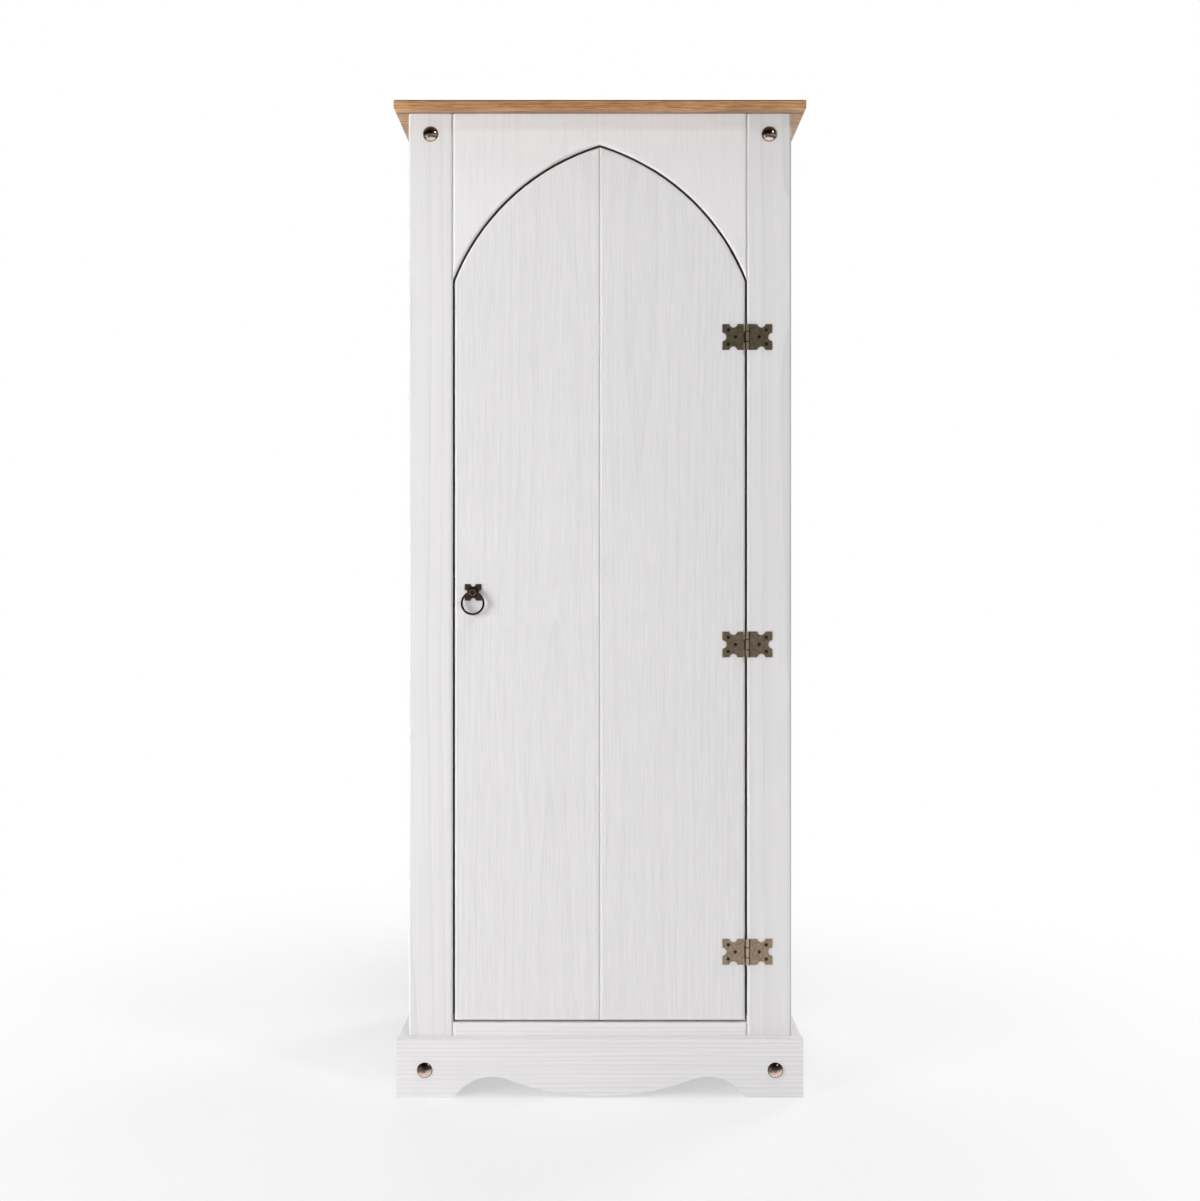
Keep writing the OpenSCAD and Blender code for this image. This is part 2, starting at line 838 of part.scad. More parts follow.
catch_back = 18;
catch_wall = 2;
catch_screw_bite = 10;
metal_corner_r = 2.5;
magnet_w = 7;
magnet_t = 6;
magnet_h = 26;
pole_t = 1.2;
catch_z = pull_z;
catch_x0 = -(opening_half + catch_back);
catch_x1 = -(opening_half - catch_reach);
magnet_x = catch_x1 - catch_wall - pole_t - magnet_w / 2;
pole_front_y = door_back_y + strike_t + catch_gap;
catch_front_y = max(frame_back_y, pole_front_y);
catch_back_y = frame_back_y + catch_d;
magnet_back_y = catch_front_y + magnet_t;
catch_corners = [[-1, -1], [-1, 1], [1, -1], [1, 1]];

module catch_housing() {
    z = catch_h / 2;
    pocket_x = magnet_w / 2 + pole_t + wood_fit;
    pocket_z = magnet_h / 2 + wood_fit;
    color(black_plastic) difference() {
        along_y(frame_back_y, catch_back_y)
            board_2d([catch_x0, catch_z - z], [catch_x1, catch_z + z], metal_corner_r, catch_corners);
        box([-opening_half, frame_back_y - cut, catch_z - z - cut],
            [catch_x1 + cut, catch_front_y, catch_z + z + cut]);
        box([magnet_x - pocket_x, frame_back_y - cut, catch_z - pocket_z],
            [magnet_x + pocket_x, magnet_back_y + wood_fit, catch_z + pocket_z]);
        catch_screw_set(wood_fit);
    }
}

module catch_magnet() {
    color(ferrite)
        box([magnet_x - magnet_w / 2, catch_front_y, catch_z - magnet_h / 2],
            [magnet_x + magnet_w / 2, magnet_back_y, catch_z + magnet_h / 2]);
}

module catch_pole_plates() {
    color(zinc) for (x = [magnet_x - magnet_w / 2 - pole_t, magnet_x + magnet_w / 2])
        box([x, pole_front_y, catch_z - magnet_h / 2],
            [x + pole_t, magnet_back_y, catch_z + magnet_h / 2]);
}

module catch_screw_set(fit = 0) {
    for (side = [-1, 1])
        aimed([-(opening_half + catch_back / 2), catch_back_y, catch_z + side * 0.3 * catch_h], "front")
            csk_screw(catch_d + catch_screw_bite, fit);
}

module catch_screws() color(zinc) catch_screw_set();

strike_w = 15;
strike_h = 40;
strike_in = 1.5;
strike_screw_in = 5.5;

module strike_plate() {
    x0 = -door_half + strike_in;
    z = strike_h / 2;
    color(zinc) difference() {
        along_y(door_back_y, door_back_y + strike_t)
            board_2d([x0, catch_z - z], [x0 + strike_w, catch_z + z], metal_corner_r, catch_corners);
        strike_screw_set(wood_fit);
    }
}

module strike_screw_set(fit = 0) {
    x = -door_half + strike_in + strike_w / 2;
    aimed([x, door_back_y + strike_t, catch_z + strike_h / 2 - strike_screw_in], "front")
        csk_screw(strike_screw_l, fit);
}

module strike_screw() color(zinc) strike_screw_set();

// Door

// Outline of the whole door in its own plane
module door_2d() {
    difference() {
        translate([-door_half, door_z]) square([2 * door_half, apex_z - door_z]);
        both_sides() difference() {
            translate([-cut, arch_z]) square([door_half + 2 * cut, apex_z + cut - arch_z]);
            translate([-arch_x, arch_z]) circle(arch_radius - door_gap / 2, $fn = arc_fn);
        }
    }
}

module door_part_2d(x0, x1) {
    intersection() {
        door_2d();
        translate([x0, door_z - cut]) square([x1 - x0, apex_z - door_z + 2 * cut]);
    }
}

// Right-hand board without its tongue or groove
module plain_board() {
    difference() {
        along_y(face_y, door_back_y) door_part_2d(0, door_half + cut);
        arch_arris(arch_radius - door_gap / 2, 1, door_round);
        translate([door_half, face_y, 0])
            along_z(door_z - cut, apex_z) mirror([0, 1]) arris_2d(door_round);
        along_x(-cut, door_half + cut)
            translate([face_y, door_z]) mirror([1, 0]) mirror([0, 1]) arris_2d(door_round);
        along_z(door_z - cut, apex_z + cut)
            polygon([
                [-cut, face_y - cut], [groove_v + cut, face_y - cut], [-cut, face_y + groove_v + cut]
            ]);
    }
}

tongue_y = face_y + door_t / 2;

module door_board_left() {
    color(paint) difference() {
        union() {
            mirror([1, 0, 0]) plain_board();
            along_y(tongue_y - tongue_t / 2, tongue_y + tongue_t / 2) door_part_2d(-cut, tongue_l);
        }
        ledge_screw_set(wood_fit);
        strike_screw_set(wood_fit);
        pull_bore(wood_fit);
    }
}

module door_board_right() {
    color(paint) difference() {
        plain_board();
        box([-cut, tongue_y - tongue_t / 2 - panel_fit / 2, door_z - cut],
            [tongue_l + panel_fit, tongue_y + tongue_t / 2 + panel_fit / 2, apex_z + cut]);
        ledge_screw_set(wood_fit);
        hinge_screw_set(-1, wood_fit);
    }
}

// Ledges across the back of the door, level with the hinges

ledge_half = door_half - ledge_inset;
ledge_round = 3;

module door_ledge(i) {
    z = hinge_zs[i] - ledge_h / 2;
    color(paint) difference() {
        intersection() {
            along_x(-ledge_half, ledge_half)
                board_2d([door_back_y, z], [door_back_y + ledge_t, z + ledge_h], ledge_round,
                    [[1, -1], [1, 1]]);
            along_z(z, z + ledge_h)
                board_2d([-ledge_half, door_back_y], [ledge_half, door_back_y + ledge_t], ledge_round,
                    [[-1, 1], [1, 1]]);
        }
        ledge_screw_set(wood_fit);
    }
}

module lower_door_ledge() door_ledge(0);

module middle_door_ledge() door_ledge(1);

module upper_door_ledge() door_ledge(2);

ledge_screw_bite = 11;

module ledge_screw_set(fit = 0) {
    for (z = hinge_zs, k = [-0.85, -0.25, 0.25, 0.85], side = [-1, 1])
        aimed([k * ledge_half, door_back_y + ledge_t, z + side * ledge_h / 4], "front")
            csk_screw(ledge_t + ledge_screw_bite, fit);
}

module ledge_screws() color(zinc) ledge_screw_set();

// Ring pull

module pull_backplate() {
    color(dark_bronze) along_y(face_y - plate_t, face_y) translate([pull_x, pull_z]) difference() {
        square(plate_w, center = true);
        for (a = [0:90:270]) rotate(a) translate([plate_w / 2, 0]) circle(plate_notch_r);
        circle(pull_screw_r + plate_hole_fit);
    }
}

// The ring's hole, along X: as narrow as the wire in the middle and flared to both sides, so
// that the curved wire can swing in it
module ring_hole() {
    r = ring_wire_d / 2 + ring_fit;
    half = post_head_d / 2 + cut;
    flare_from = half / 4;
    flare = 1.1 * (ring_r - sqrt(ring_r * ring_r - half * half));
    translate([pull_x, ring_y, pull_z]) rotate([0, 90, 0]) {
        cylinder(r = r, h = 2 * half, center = true);
        for (flip = [0, 1]) mirror([0, 0, flip])
            translate([0, 0, flare_from]) cylinder(r1 = r, r2 = r + flare, h = half - flare_from);
    }
}

// The post is a neck with a disc on its end, which has a raised rim round a slightly domed middle
module pull_post() {
    cap_r = post_head_d / 2;
    ease = 0.4;
    rim = 1;
    cap_back = -0.6;
    neck = face_y - plate_t - post_cap_y;
    color(dark_bronze) difference() {
        translate([pull_x, post_cap_y, pull_z]) rotate([90, 0, 0]) {
            translate([0, 0, -neck]) cylinder(d = post_d, h = neck);
            rotate_extrude() polygon([
                [0, cap_back], [cap_r - ease, cap_back], [cap_r, cap_back + ease],
                [cap_r, post_cap_t - ease], [cap_r - ease, post_cap_t], [cap_r - rim, post_cap_t],
                [cap_r - rim - ease, post_cap_t - ease], [0, post_cap_t - ease / 4]
            ]);
        }
        ring_hole();
        aimed([pull_x, face_y, pull_z], "front")
            translate([0, 0, -plate_t - pull_screw_bite - pull_screw_end])
                cylinder(r = pull_screw_r + wood_fit, h = plate_t + pull_screw_bite + pull_screw_end + cut);
    }
}

// Clearance hole for the pull's screw through the door board
module pull_bore(fit) {
    translate([pull_x, face_y - cut, pull_z]) rotate([-90, 0, 0])
        cylinder(r = pull_screw_r + fit, h = door_t + 2 * cut);
}

module pull_screw() {
    color(zinc) translate([pull_x, door_back_y, pull_z]) rotate([90, 0, 0]) {
        cylinder(r = pull_screw_r, h = door_t + plate_t + pull_screw_bite);
        translate([0, 0, -pull_screw_head_h]) cylinder(r = pull_screw_head_r, h = pull_screw_head_h);
    }
}

module pull_ring() {
    color(dark_bronze) translate([pull_x, ring_y, ring_z]) rotate([90, 0, 0])
        rotate_extrude() translate([ring_r, 0]) circle(d = ring_wire_d);
}

top_panel();
left_side_panel();
right_side_panel();
left_stile();
right_stile();
arch_panel();
bottom_rail();
base_panel();
top_front_rail();
top_back_rail();
back_panel_lower();
back_panel_upper();
back_joining_strip();
shelf_lower();
shelf_middle();
shelf_upper();
shelf_pins();
plinth_front();
plinth_left();
plinth_right();
plinth_back();
plinth_corner_blocks();
carcass_dowels();
stile_dowels();
frame_dowels();
top_screws();
plinth_screws();
back_nails();
stile_studs();
plinth_studs();
lower_hinge_frame_leaf();
middle_hinge_frame_leaf();
upper_hinge_frame_leaf();
lower_hinge_pin();
middle_hinge_pin();
upper_hinge_pin();
hinge_frame_screws();
catch_housing();
catch_magnet();
catch_pole_plates();
catch_screws();
door_board_left();
door_board_right();
lower_door_ledge();
middle_door_ledge();
upper_door_ledge();
ledge_screws();
lower_hinge_door_leaf();
middle_hinge_door_leaf();
upper_hinge_door_leaf();
hinge_door_screws();
strike_plate();
strike_screw();
pull_backplate();
pull_post();
pull_screw();
pull_ring();
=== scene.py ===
# %% [markdown]
# # A vestry cupboard, finished in Blender
# The joiner's work is done before this lesson starts: every board, hinge leaf and screw comes in
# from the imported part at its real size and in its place. This lesson is about the finisher's work:
# white paint through which the pine still shows, a waxed top, bronzed ironmongery with eased edges
# and crossed screw heads, a pale studio, and a camera that looks on squarely from the front.

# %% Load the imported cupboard
import json
import math

import bmesh
import bpy
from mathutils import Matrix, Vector

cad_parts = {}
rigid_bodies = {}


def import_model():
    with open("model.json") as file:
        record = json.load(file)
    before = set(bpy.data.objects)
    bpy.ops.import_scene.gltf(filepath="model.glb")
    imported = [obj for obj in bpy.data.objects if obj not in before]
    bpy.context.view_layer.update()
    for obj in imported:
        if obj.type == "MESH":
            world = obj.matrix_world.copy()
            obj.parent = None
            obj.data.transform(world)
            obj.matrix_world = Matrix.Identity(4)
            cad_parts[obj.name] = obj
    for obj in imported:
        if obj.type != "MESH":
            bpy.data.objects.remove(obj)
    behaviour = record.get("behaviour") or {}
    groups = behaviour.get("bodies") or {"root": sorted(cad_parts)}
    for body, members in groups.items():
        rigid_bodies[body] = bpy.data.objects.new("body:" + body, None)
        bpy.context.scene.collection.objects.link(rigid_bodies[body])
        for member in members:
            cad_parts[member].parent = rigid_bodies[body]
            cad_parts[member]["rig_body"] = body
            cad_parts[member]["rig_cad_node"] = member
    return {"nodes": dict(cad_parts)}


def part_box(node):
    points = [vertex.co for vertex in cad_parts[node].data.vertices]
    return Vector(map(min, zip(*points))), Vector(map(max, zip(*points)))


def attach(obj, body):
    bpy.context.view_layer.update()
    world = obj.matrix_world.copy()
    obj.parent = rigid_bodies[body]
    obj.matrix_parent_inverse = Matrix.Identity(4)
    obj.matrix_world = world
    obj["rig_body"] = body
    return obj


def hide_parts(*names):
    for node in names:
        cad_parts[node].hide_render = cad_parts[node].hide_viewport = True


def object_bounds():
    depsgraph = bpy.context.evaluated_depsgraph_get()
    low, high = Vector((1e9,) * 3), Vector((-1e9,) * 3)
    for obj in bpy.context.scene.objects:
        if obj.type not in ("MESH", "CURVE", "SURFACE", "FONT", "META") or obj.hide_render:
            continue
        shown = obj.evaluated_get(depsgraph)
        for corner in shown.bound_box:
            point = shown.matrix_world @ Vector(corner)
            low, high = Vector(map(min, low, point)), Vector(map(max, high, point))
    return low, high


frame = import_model()
nodes = frame["nodes"]
cad_low, cad_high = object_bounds()
print("size in metres:", [round(v, 3) for v in cad_high - cad_low])

# %% [markdown]
# ## The camera
# A cupboard photographed for a shop is shot square on: its uprights stay upright in the picture,
# which means that the camera looks level. How fast things shrink with depth tells how far away it
# stands, here a little over two metres. A level camera at the height of the cupboard's middle shows
# all of it. Lifting it a little and shifting the lens down by the same amount shows a trace more of
# the ledges below without tilting the uprights.

# %% Place the camera
MM = 0.001
SENSOR = 36.0  # mm
PICTURE_ROWS = 1201
MM_PER_ROW = 1.5457  # on the plane of the door's face
DISTANCE = 2.105  # metres from that plane
MIDDLE_ROW_HEIGHT = 0.7624  # metres above the floor
LENS_SHIFT = -0.018  # of the picture's height

door_face_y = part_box("door_board_left")[0].y
rows_height = PICTURE_ROWS * MM_PER_ROW * MM
camera_data = bpy.data.cameras.new("studio_camera")
camera_data.sensor_width = SENSOR
camera_data.lens = SENSOR * DISTANCE / rows_height
camera_data.shift_y = LENS_SHIFT
camera = bpy.data.objects.new("studio_camera", camera_data)
camera.location = (0, door_face_y - DISTANCE, MIDDLE_ROW_HEIGHT - LENS_SHIFT * rows_height)
camera.rotation_euler = (math.radians(90), 0, 0)
bpy.context.scene.collection.objects.link(camera)
bpy.context.scene.camera = camera
print(f"lens {camera_data.lens:.1f} mm at height {camera.location.z:.3f} m")

# %% [markdown]
# ## A small kit for materials
# A Blender material is a tree of nodes. Typing each node out hides what the finish is about, so
# helpers come first. One adds a node and wires its inputs, and short ones for arithmetic are built
# on it, so that a finish can be read like a sum.


# %% Helpers for nodes and sums
def add(tree, kind, inputs=None, **settings):
    """Adds a node, sets its options, and fills its inputs with values or other nodes' outputs."""
    made = tree.nodes.new("ShaderNode" + kind)
    for name, value in settings.items():
        setattr(made, name, value)
    for name, value in (inputs or {}).items():
        fill(tree, made.inputs[name], value)
    return made


def fill(tree, socket, value):
    """Joins an output to a socket, or sets the socket to a plain value."""
    if isinstance(value, bpy.types.NodeSocket):
        tree.links.new(value, socket)
    else:
        socket.default_value = value


def calc(tree, operation, a, b=0.0):
    """One step of arithmetic on numbers."""
    return add(tree, "Math", {0: a, 1: b}, operation=operation).outputs[0]


def plus(tree, a, b):
    return calc(tree, "ADD", a, b)


def minus(tree, a, b):
    return calc(tree, "SUBTRACT", a, b)


def times(tree, a, b):
    return calc(tree, "MULTIPLY", a, b)


def larger(tree, a, b):
    return calc(tree, "MAXIMUM", a, b)


def size(tree, a):
    return calc(tree, "ABSOLUTE", a)


print("helpers for sums are ready")

# %% [markdown]
# ## Places, noises and colours
# A finish asks three things: where a spot is, which way the surface looks there, and how a slow or
# quick random change runs through it. Places are metres in the piece's own space, whose origin is
# on the floor below the cupboard's middle, so the same spot keeps its finish when a piece moves.


# %% Helpers for places
def split(tree, triple):
    """The X, Y and Z of a place or a direction."""
    return add(tree, "SeparateXYZ", {"Vector": triple}).outputs


def place_of(tree):
    """Where a spot is, in metres."""
    return add(tree, "TexCoord").outputs["Object"]


def facing_of(tree):
    """Which way the surface looks at a spot, as X, Y and Z from -1 to 1."""
    return split(tree, add(tree, "TexCoord").outputs["Normal"])


def vector(tree, x, y, z):
    """A vector from three numbers or outputs."""
    return add(tree, "CombineXYZ", {"X": x, "Y": y, "Z": z}).outputs[0]


def moved(tree, place, step):
    return add(tree, "VectorMath", {0: place, 1: step}, operation="ADD").outputs[0]


def scaled(tree, place, scale):
    return add(tree, "VectorMath", {0: place, 1: scale}, operation="MULTIPLY").outputs[0]


def length(tree, triple):
    return add(tree, "VectorMath", {0: triple}, operation="LENGTH").outputs["Value"]


print("helpers for places are ready")


# %% Helpers for noises and blends
def noise(tree, at, scale, detail=2.0, roughness=0.5):
    """Smooth random values from 0 to 1, the same at the same place each time."""
    return add(tree, "TexNoise", {
        "Vector": at, "Scale": scale, "Detail": detail, "Roughness": roughness,
    }).outputs["Fac"]


def blend(tree, share, low, high):
    """A colour between two colours."""
    made = add(tree, "Mix", data_type="RGBA")
    for socket, value in ((0, share), (6, low), (7, high)):
        fill(tree, made.inputs[socket], value)
    return made.outputs[2]


def between(tree, value, low, high, to_low=0.0, to_high=1.0):
    """Stretches the values between low and high over a new range, with a smooth start and end."""
    return add(tree, "MapRange", {
        "Value": value, "From Min": low, "From Max": high, "To Min": to_low, "To Max": to_high,
    }, interpolation_type="SMOOTHSTEP").outputs["Result"]


def falling(tree, value, low, high):
    """1 below low and 0 above high."""
    return between(tree, value, low, high, 1.0, 0.0)


def band(tree, value, rise, full, fade, gone):
    """1 between full and fade, and 0 below rise and above gone."""
    return times(tree, between(tree, value, rise, full), falling(tree, value, fade, gone))


print("helpers for noises are ready")


# %% Helpers for a whole finish
def srgb(red, green, blue):
    """A colour as on a paint chart, from 0 to 255, in the linear values that Blender works with."""
    def linear(c):
        c = c / 255
        return c / 12.92 if c <= 0.04045 else ((c + 0.055) / 1.055) ** 2.4
    return linear(red), linear(green), linear(blue), 1.0


def new_finish(name):
    """An empty material: its tree and its shader, already joined to the output."""
    material = bpy.data.materials.new(name)
    material.use_nodes = True
    tree = material.node_tree
    tree.nodes.clear()
    shader = add(tree, "BsdfPrincipled")
    output = add(tree, "OutputMaterial")
    tree.links.new(shader.outputs[0], output.inputs[0])
    return material, tree, shader


def show_instead(tree, surface):
    """Joins another surface to the output, in place of the shader."""
    output = next(node for node in tree.nodes if node.type == "OUTPUT_MATERIAL")
    tree.links.new(surface.outputs[0], output.inputs[0])


def colour_with(tree, shader, colour, roughness):
    tree.links.new(colour, shader.inputs["Base Color"])
    tree.links.new(roughness, shader.inputs["Roughness"])


def relief(tree, shader, height, depth):
    """Turns a height from 0 to 1 into fine relief that is depth metres deep."""
    bump = add(tree, "Bump", {"Height": height, "Distance": depth})
    tree.links.new(bump.outputs[0], shader.inputs["Normal"])


print("white on a paint chart is", srgb(255, 255, 255), "here")

# %% [markdown]
# ## Pine, seen from inside the tree
# A board is a slice of a trunk, so its figure isn't drawn on the surface: it is where the surface
# cuts the trunk's rings. The same is done here. Every place in a board has a distance from the
# trunk's centre line, which wanders a little as the tree grew, and that distance, counted in
# rings, gives straight lines near a board's edges and pointed flames in its middle. Edges and ends
# then agree with the faces by themselves. A second, long and thin noise adds the fine fibres.

# %% How a board's axes lie in the trunk
UP, LEVEL = "upright, seen from the front", "level, seen from the front"
UP_SIDE, LEVEL_SIDE = "upright, seen from the side", "level, seen from the side"
FLAT = "level, seen from above"
AXES = {UP: "XYZ", LEVEL: "ZYX", UP_SIDE: "YXZ", LEVEL_SIDE: "ZXY", FLAT: "YZX"}
NEXT_BOARD_ACROSS, NEXT_BOARD_ALONG = 0.37, 1.9  # metres in the trunk from one board to the next


def grain_space(tree, lay, board):
    """Places in a board as X across the face, Y into the wood and Z along the grain."""
    parts = split(tree, place_of(tree))
    turned = vector(tree, *(parts[letter] for letter in AXES[lay]))
    return moved(tree, turned, (NEXT_BOARD_ACROSS * board, 0.0, NEXT_BOARD_ALONG * board))


def stretched(tree, grain, across, along):
    """Grain space with its own scale across and along, for long thin marks."""
    return scaled(tree, grain, (across, across, along))


print("grain directions:", len(AXES))

# %% [markdown]
# ## Rings
# A ring starts pale and soft in spring and ends dark and hard in autumn, all at once. The share of
# a ring that has passed, raised to a power, gives that slow rise and sudden end. Two slow noises
# along the trunk let its centre line wander sideways and in depth, and a finer one roughens rings.

# %% The rings of a trunk
SIDEWAYS_SWAY, DEPTH_SWAY = 1.3, 1.1  # bends in a metre of trunk
OTHER_PLACE = (5.0, 3.0, 11.0)  # keeps the second noise apart from the first


def rings(tree, grain, pitch, heart_x, heart_depth, wander, sharp=2.5, ragged=0.006):
    """How far through a ring each place is, from 0 in pale early wood to 1 in dark late wood."""
    parts = split(tree, grain)
    trunk = stretched(tree, grain, 0.0, 1.0)
    sway = noise(tree, trunk, SIDEWAYS_SWAY)
    drift = noise(tree, moved(tree, trunk, OTHER_PLACE), DEPTH_SWAY)
    across = plus(tree, minus(tree, parts["X"], heart_x), times(tree, sway, wander))
    depth = plus(tree, plus(tree, parts["Y"], heart_depth), times(tree, drift, wander))
    squares = plus(tree, times(tree, across, across), times(tree, depth, depth))
    radius = calc(tree, "SQRT", squares)
    uneven = times(tree, noise(tree, stretched(tree, grain, 24.0, 2.0), 1.0, detail=3.0), ragged)
    turns = calc(tree, "DIVIDE", plus(tree, radius, uneven), pitch)
    return calc(tree, "POWER", calc(tree, "FRACT", turns), sharp)


print("a trunk sways", SIDEWAYS_SWAY, "times in a metre")

# %% [markdown]
# ## White paint on pine
# The boards have a thin coat of white, sprayed on after light brushing. It hides the colour of the
# wood, yet it sinks where the soft early wood was brushed away, so the figure stays as relief with
# hardly a change of colour. The finish is therefore one white with a few parts in a hundred of
# streak, a satin sheen, and relief a few hundredths of a millimetre deep. Deep in the joint round
# the door the edges turn warmer and darker with depth: partly thin spray, and partly painted shade.

# %% Painted pine
PAINT_HIGH = srgb(239, 237, 237)
PAINT_LOW = srgb(222, 220, 221)
PAINT_THIN_AND_SHADED = srgb(112, 98, 88)
PAINTED_RING_PITCH = 0.0061  # metres
STREAK_MIDDLE = 0.4  # the usual streak, which gets the usual tone
JOINT_HALF_WIDTH = 0.229  # metres, like the rest of these
JOINT_LOW_Z = 0.120
JOINT_DARKENS_FROM, JOINT_DARKEST_FROM = 0.0015, 0.0045  # behind the door's face


def joint_thin_paint_and_shade(tree):
    """1 deep in the joint round the door, where the edges get thin paint and painted shade, and 0 on
    the faces and just behind them.
    """
    at = split(tree, place_of(tree))
    sideways = calc(tree, "LESS_THAN", size(tree, facing_of(tree)["Y"]), 0.5)
    inside = calc(tree, "LESS_THAN", size(tree, at["X"]), JOINT_HALF_WIDTH)
    above = calc(tree, "GREATER_THAN", at["Z"], JOINT_LOW_Z)
    deep = between(tree, at["Y"], door_face_y + JOINT_DARKENS_FROM, door_face_y + JOINT_DARKEST_FROM)
    return times(tree, times(tree, sideways, inside), times(tree, above, deep))


def painted_pine(name, lay, board, heart_x, cut, contrast, paler_against_shade, darkened_in_joint):
    """White paint with one board's grain as relief. Cut is how the board lay in the trunk."""
    heart_depth, wander, ring_share, fibre_along = cut
    material, tree, shader = new_finish(name)
    grain = grain_space(tree, lay, board)
    ring = rings(tree, grain, PAINTED_RING_PITCH, heart_x + NEXT_BOARD_ACROSS * board,
                 heart_depth, wander, sharp=4.0, ragged=0.1 * wander)
    fibre = noise(tree, stretched(tree, grain, 760.0, fibre_along), 1.0, roughness=0.6)
    fine = noise(tree, stretched(tree, grain, 1400.0, 40.0), 1.0)
    streak = plus(tree, times(tree, between(tree, fibre, 0.25, 0.75), 1 - ring_share),
                  times(tree, ring, ring_share))
    # A board marked here gets a lighter tone: painted light against the shade that falls on it.
    tone = plus(tree, times(tree, minus(tree, streak, STREAK_MIDDLE), contrast), 0.5 - paler_against_shade)
    paint = blend(tree, tone, PAINT_HIGH, PAINT_LOW)
    # Painted shade: edges deep in the joint round the door darken to a warm brown, partly as thin
    # paint.
    if darkened_in_joint:
        paint = blend(tree, joint_thin_paint_and_shade(tree), paint, PAINT_THIN_AND_SHADED)
    colour_with(tree, shader, paint, between(tree, fine, 0.2, 0.8, 0.46, 0.56))
    height = plus(tree, times(tree, streak, -1.0), times(tree, fine, 0.15))
    relief(tree, shader, height, depth=0.00005)
    return material


for colour in (PAINT_HIGH, PAINT_LOW, PAINT_THIN_AND_SHADED):
    print("paint:", [round(c, 3) for c in colour[:3]])

# %% [markdown]
# ## Waxed pine
# Only the top is left as wood: pine with a warm brown wax. Early wood takes more of it than the
# hard late wood, knots and rays give small darker flecks, and the wax leaves a soft shine. The
# colour is laid down in three steps: a slow drift along the slab, then ring by ring, then fibres.
# The rounded upper edge comes out darker, and a painted shadow line darkens the corner below the
# slab, where it meets the front.

# %% Waxed and bare pine
OPEN_RING_PITCH = 0.0046  # metres
OPEN_HEART_DEPTH, OPEN_WANDER = 0.030, 0.07
WAXED_COLOURS = srgb(222, 172, 122), srgb(190, 140, 96), srgb(128, 86, 54)
BARE_COLOURS = srgb(228, 200, 152), srgb(216, 184, 132), srgb(190, 148, 96)
DARK_ARRIS_AND_SHADOW = srgb(84, 50, 30)


def open_pine(name, lay, board, colours, roughness,
              ring_share=0.62, fibre_share=0.5, fibre_along=14.0):
    """Pine without paint: pale early wood, darker late wood, fibres and a slow drift of colour."""
    pale, mid, dark = colours
    material, tree, shader = new_finish(name)
    grain = grain_space(tree, lay, board)
    ring = rings(tree, grain, OPEN_RING_PITCH, NEXT_BOARD_ACROSS * board,
                 OPEN_HEART_DEPTH, OPEN_WANDER)
    fibre = noise(tree, stretched(tree, grain, 420.0, fibre_along), 1.0, detail=3.0, roughness=0.65)
    fine = noise(tree, stretched(tree, grain, 1500.0, 60.0), 1.0)
    drift = noise(tree, stretched(tree, grain, 14.0, 5.0), 1.0, detail=3.0)
    wood = blend(tree, between(tree, drift, 0.28, 0.75), pale, mid)
    wood = blend(tree, times(tree, ring, ring_share), wood, dark)
    wood = blend(tree, times(tree, between(tree, fibre, 0.42, 0.70), fibre_share), wood, dark)
    colour_with(tree, shader, wood,
                between(tree, fine, 0.2, 0.8, roughness - 0.05, roughness + 0.08))
    relief(tree, shader, minus(tree, times(tree, fine, 0.4), fibre), depth=0.00004)
    return material, tree, shader, wood


def waxed_pine(name, lay, board):
    """Waxed pine, darker along the upper arris, with a painted shadow line where the slab meets the
    front.
    """
    material, tree, shader, wood = open_pine(
        name, lay, board, WAXED_COLOURS, roughness=0.4,
        ring_share=0.5, fibre_share=0.85, fibre_along=26.0)
    upward = facing_of(tree)["Z"]
    arris = band(tree, upward, 0.05, 0.35, 0.6, 0.97)
    # Painted shadow: a dark line on the underside, where the slab meets the front.
    corner = band(tree, split(tree, place_of(tree))["Y"], door_face_y - 0.006, door_face_y - 0.002,
                  door_face_y + 0.001, door_face_y + 0.002)
    below = times(tree, calc(tree, "LESS_THAN", upward, -0.7), corner)
    dark_arris_and_shadow_share = times(tree, larger(tree, arris, below), 0.92)
    tree.links.new(blend(tree, dark_arris_and_shadow_share, wood, DARK_ARRIS_AND_SHADOW), shader.inputs["Base Color"])
    return material


def bare_pine(name, lay, board):
    return open_pine(name, lay, board, BARE_COLOURS, roughness=0.6)[0]


print("rings in open pine every", round(OPEN_RING_PITCH / MM, 1), "mm")

# %% [markdown]
# ## Hardboard
# The back is pressed from wood fibre: brown and faintly mottled outside, with a white film on
# the side that faces the shelves. One finish does both, because the side that a surface faces is
# known: where the surface looks forward it is film, and elsewhere it is fibre.

# %% Hardboard
FIBRE_COLOURS = srgb(168, 136, 101), srgb(142, 111, 80)
FLECK_COLOUR = srgb(110, 82, 56)
FILM_COLOURS = srgb(232, 230, 229), srgb(226, 224, 223)


def hardboard(name):
    """Brown pressed fibre, with a white film where it looks forward."""
    material, tree, shader = new_finish(name)
    place = place_of(tree)
    mottle = noise(tree, place, 60.0, detail=4.0, roughness=0.7)
    fleck = noise(tree, place, 900.0)
    fibre = blend(tree, between(tree, mottle, 0.3, 0.7), *FIBRE_COLOURS)
    flecked = times(tree, between(tree, fleck, 0.5, 0.75), 0.35)
    fibre = blend(tree, flecked, fibre, FLECK_COLOUR)
    film = blend(tree, mottle, *FILM_COLOURS)
    forward = calc(tree, "LESS_THAN", facing_of(tree)["Y"], -0.5)
    colour_with(tree, shader, blend(tree, forward, fibre, film),
                between(tree, fleck, 0.3, 0.7, 0.55, 0.72))
    relief(tree, shader, fleck, depth=0.00003)
    return material


back_low, back_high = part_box("back_panel_lower")
print(f"the back is {(back_high.y - back_low.y) / MM:.1f} mm thick")
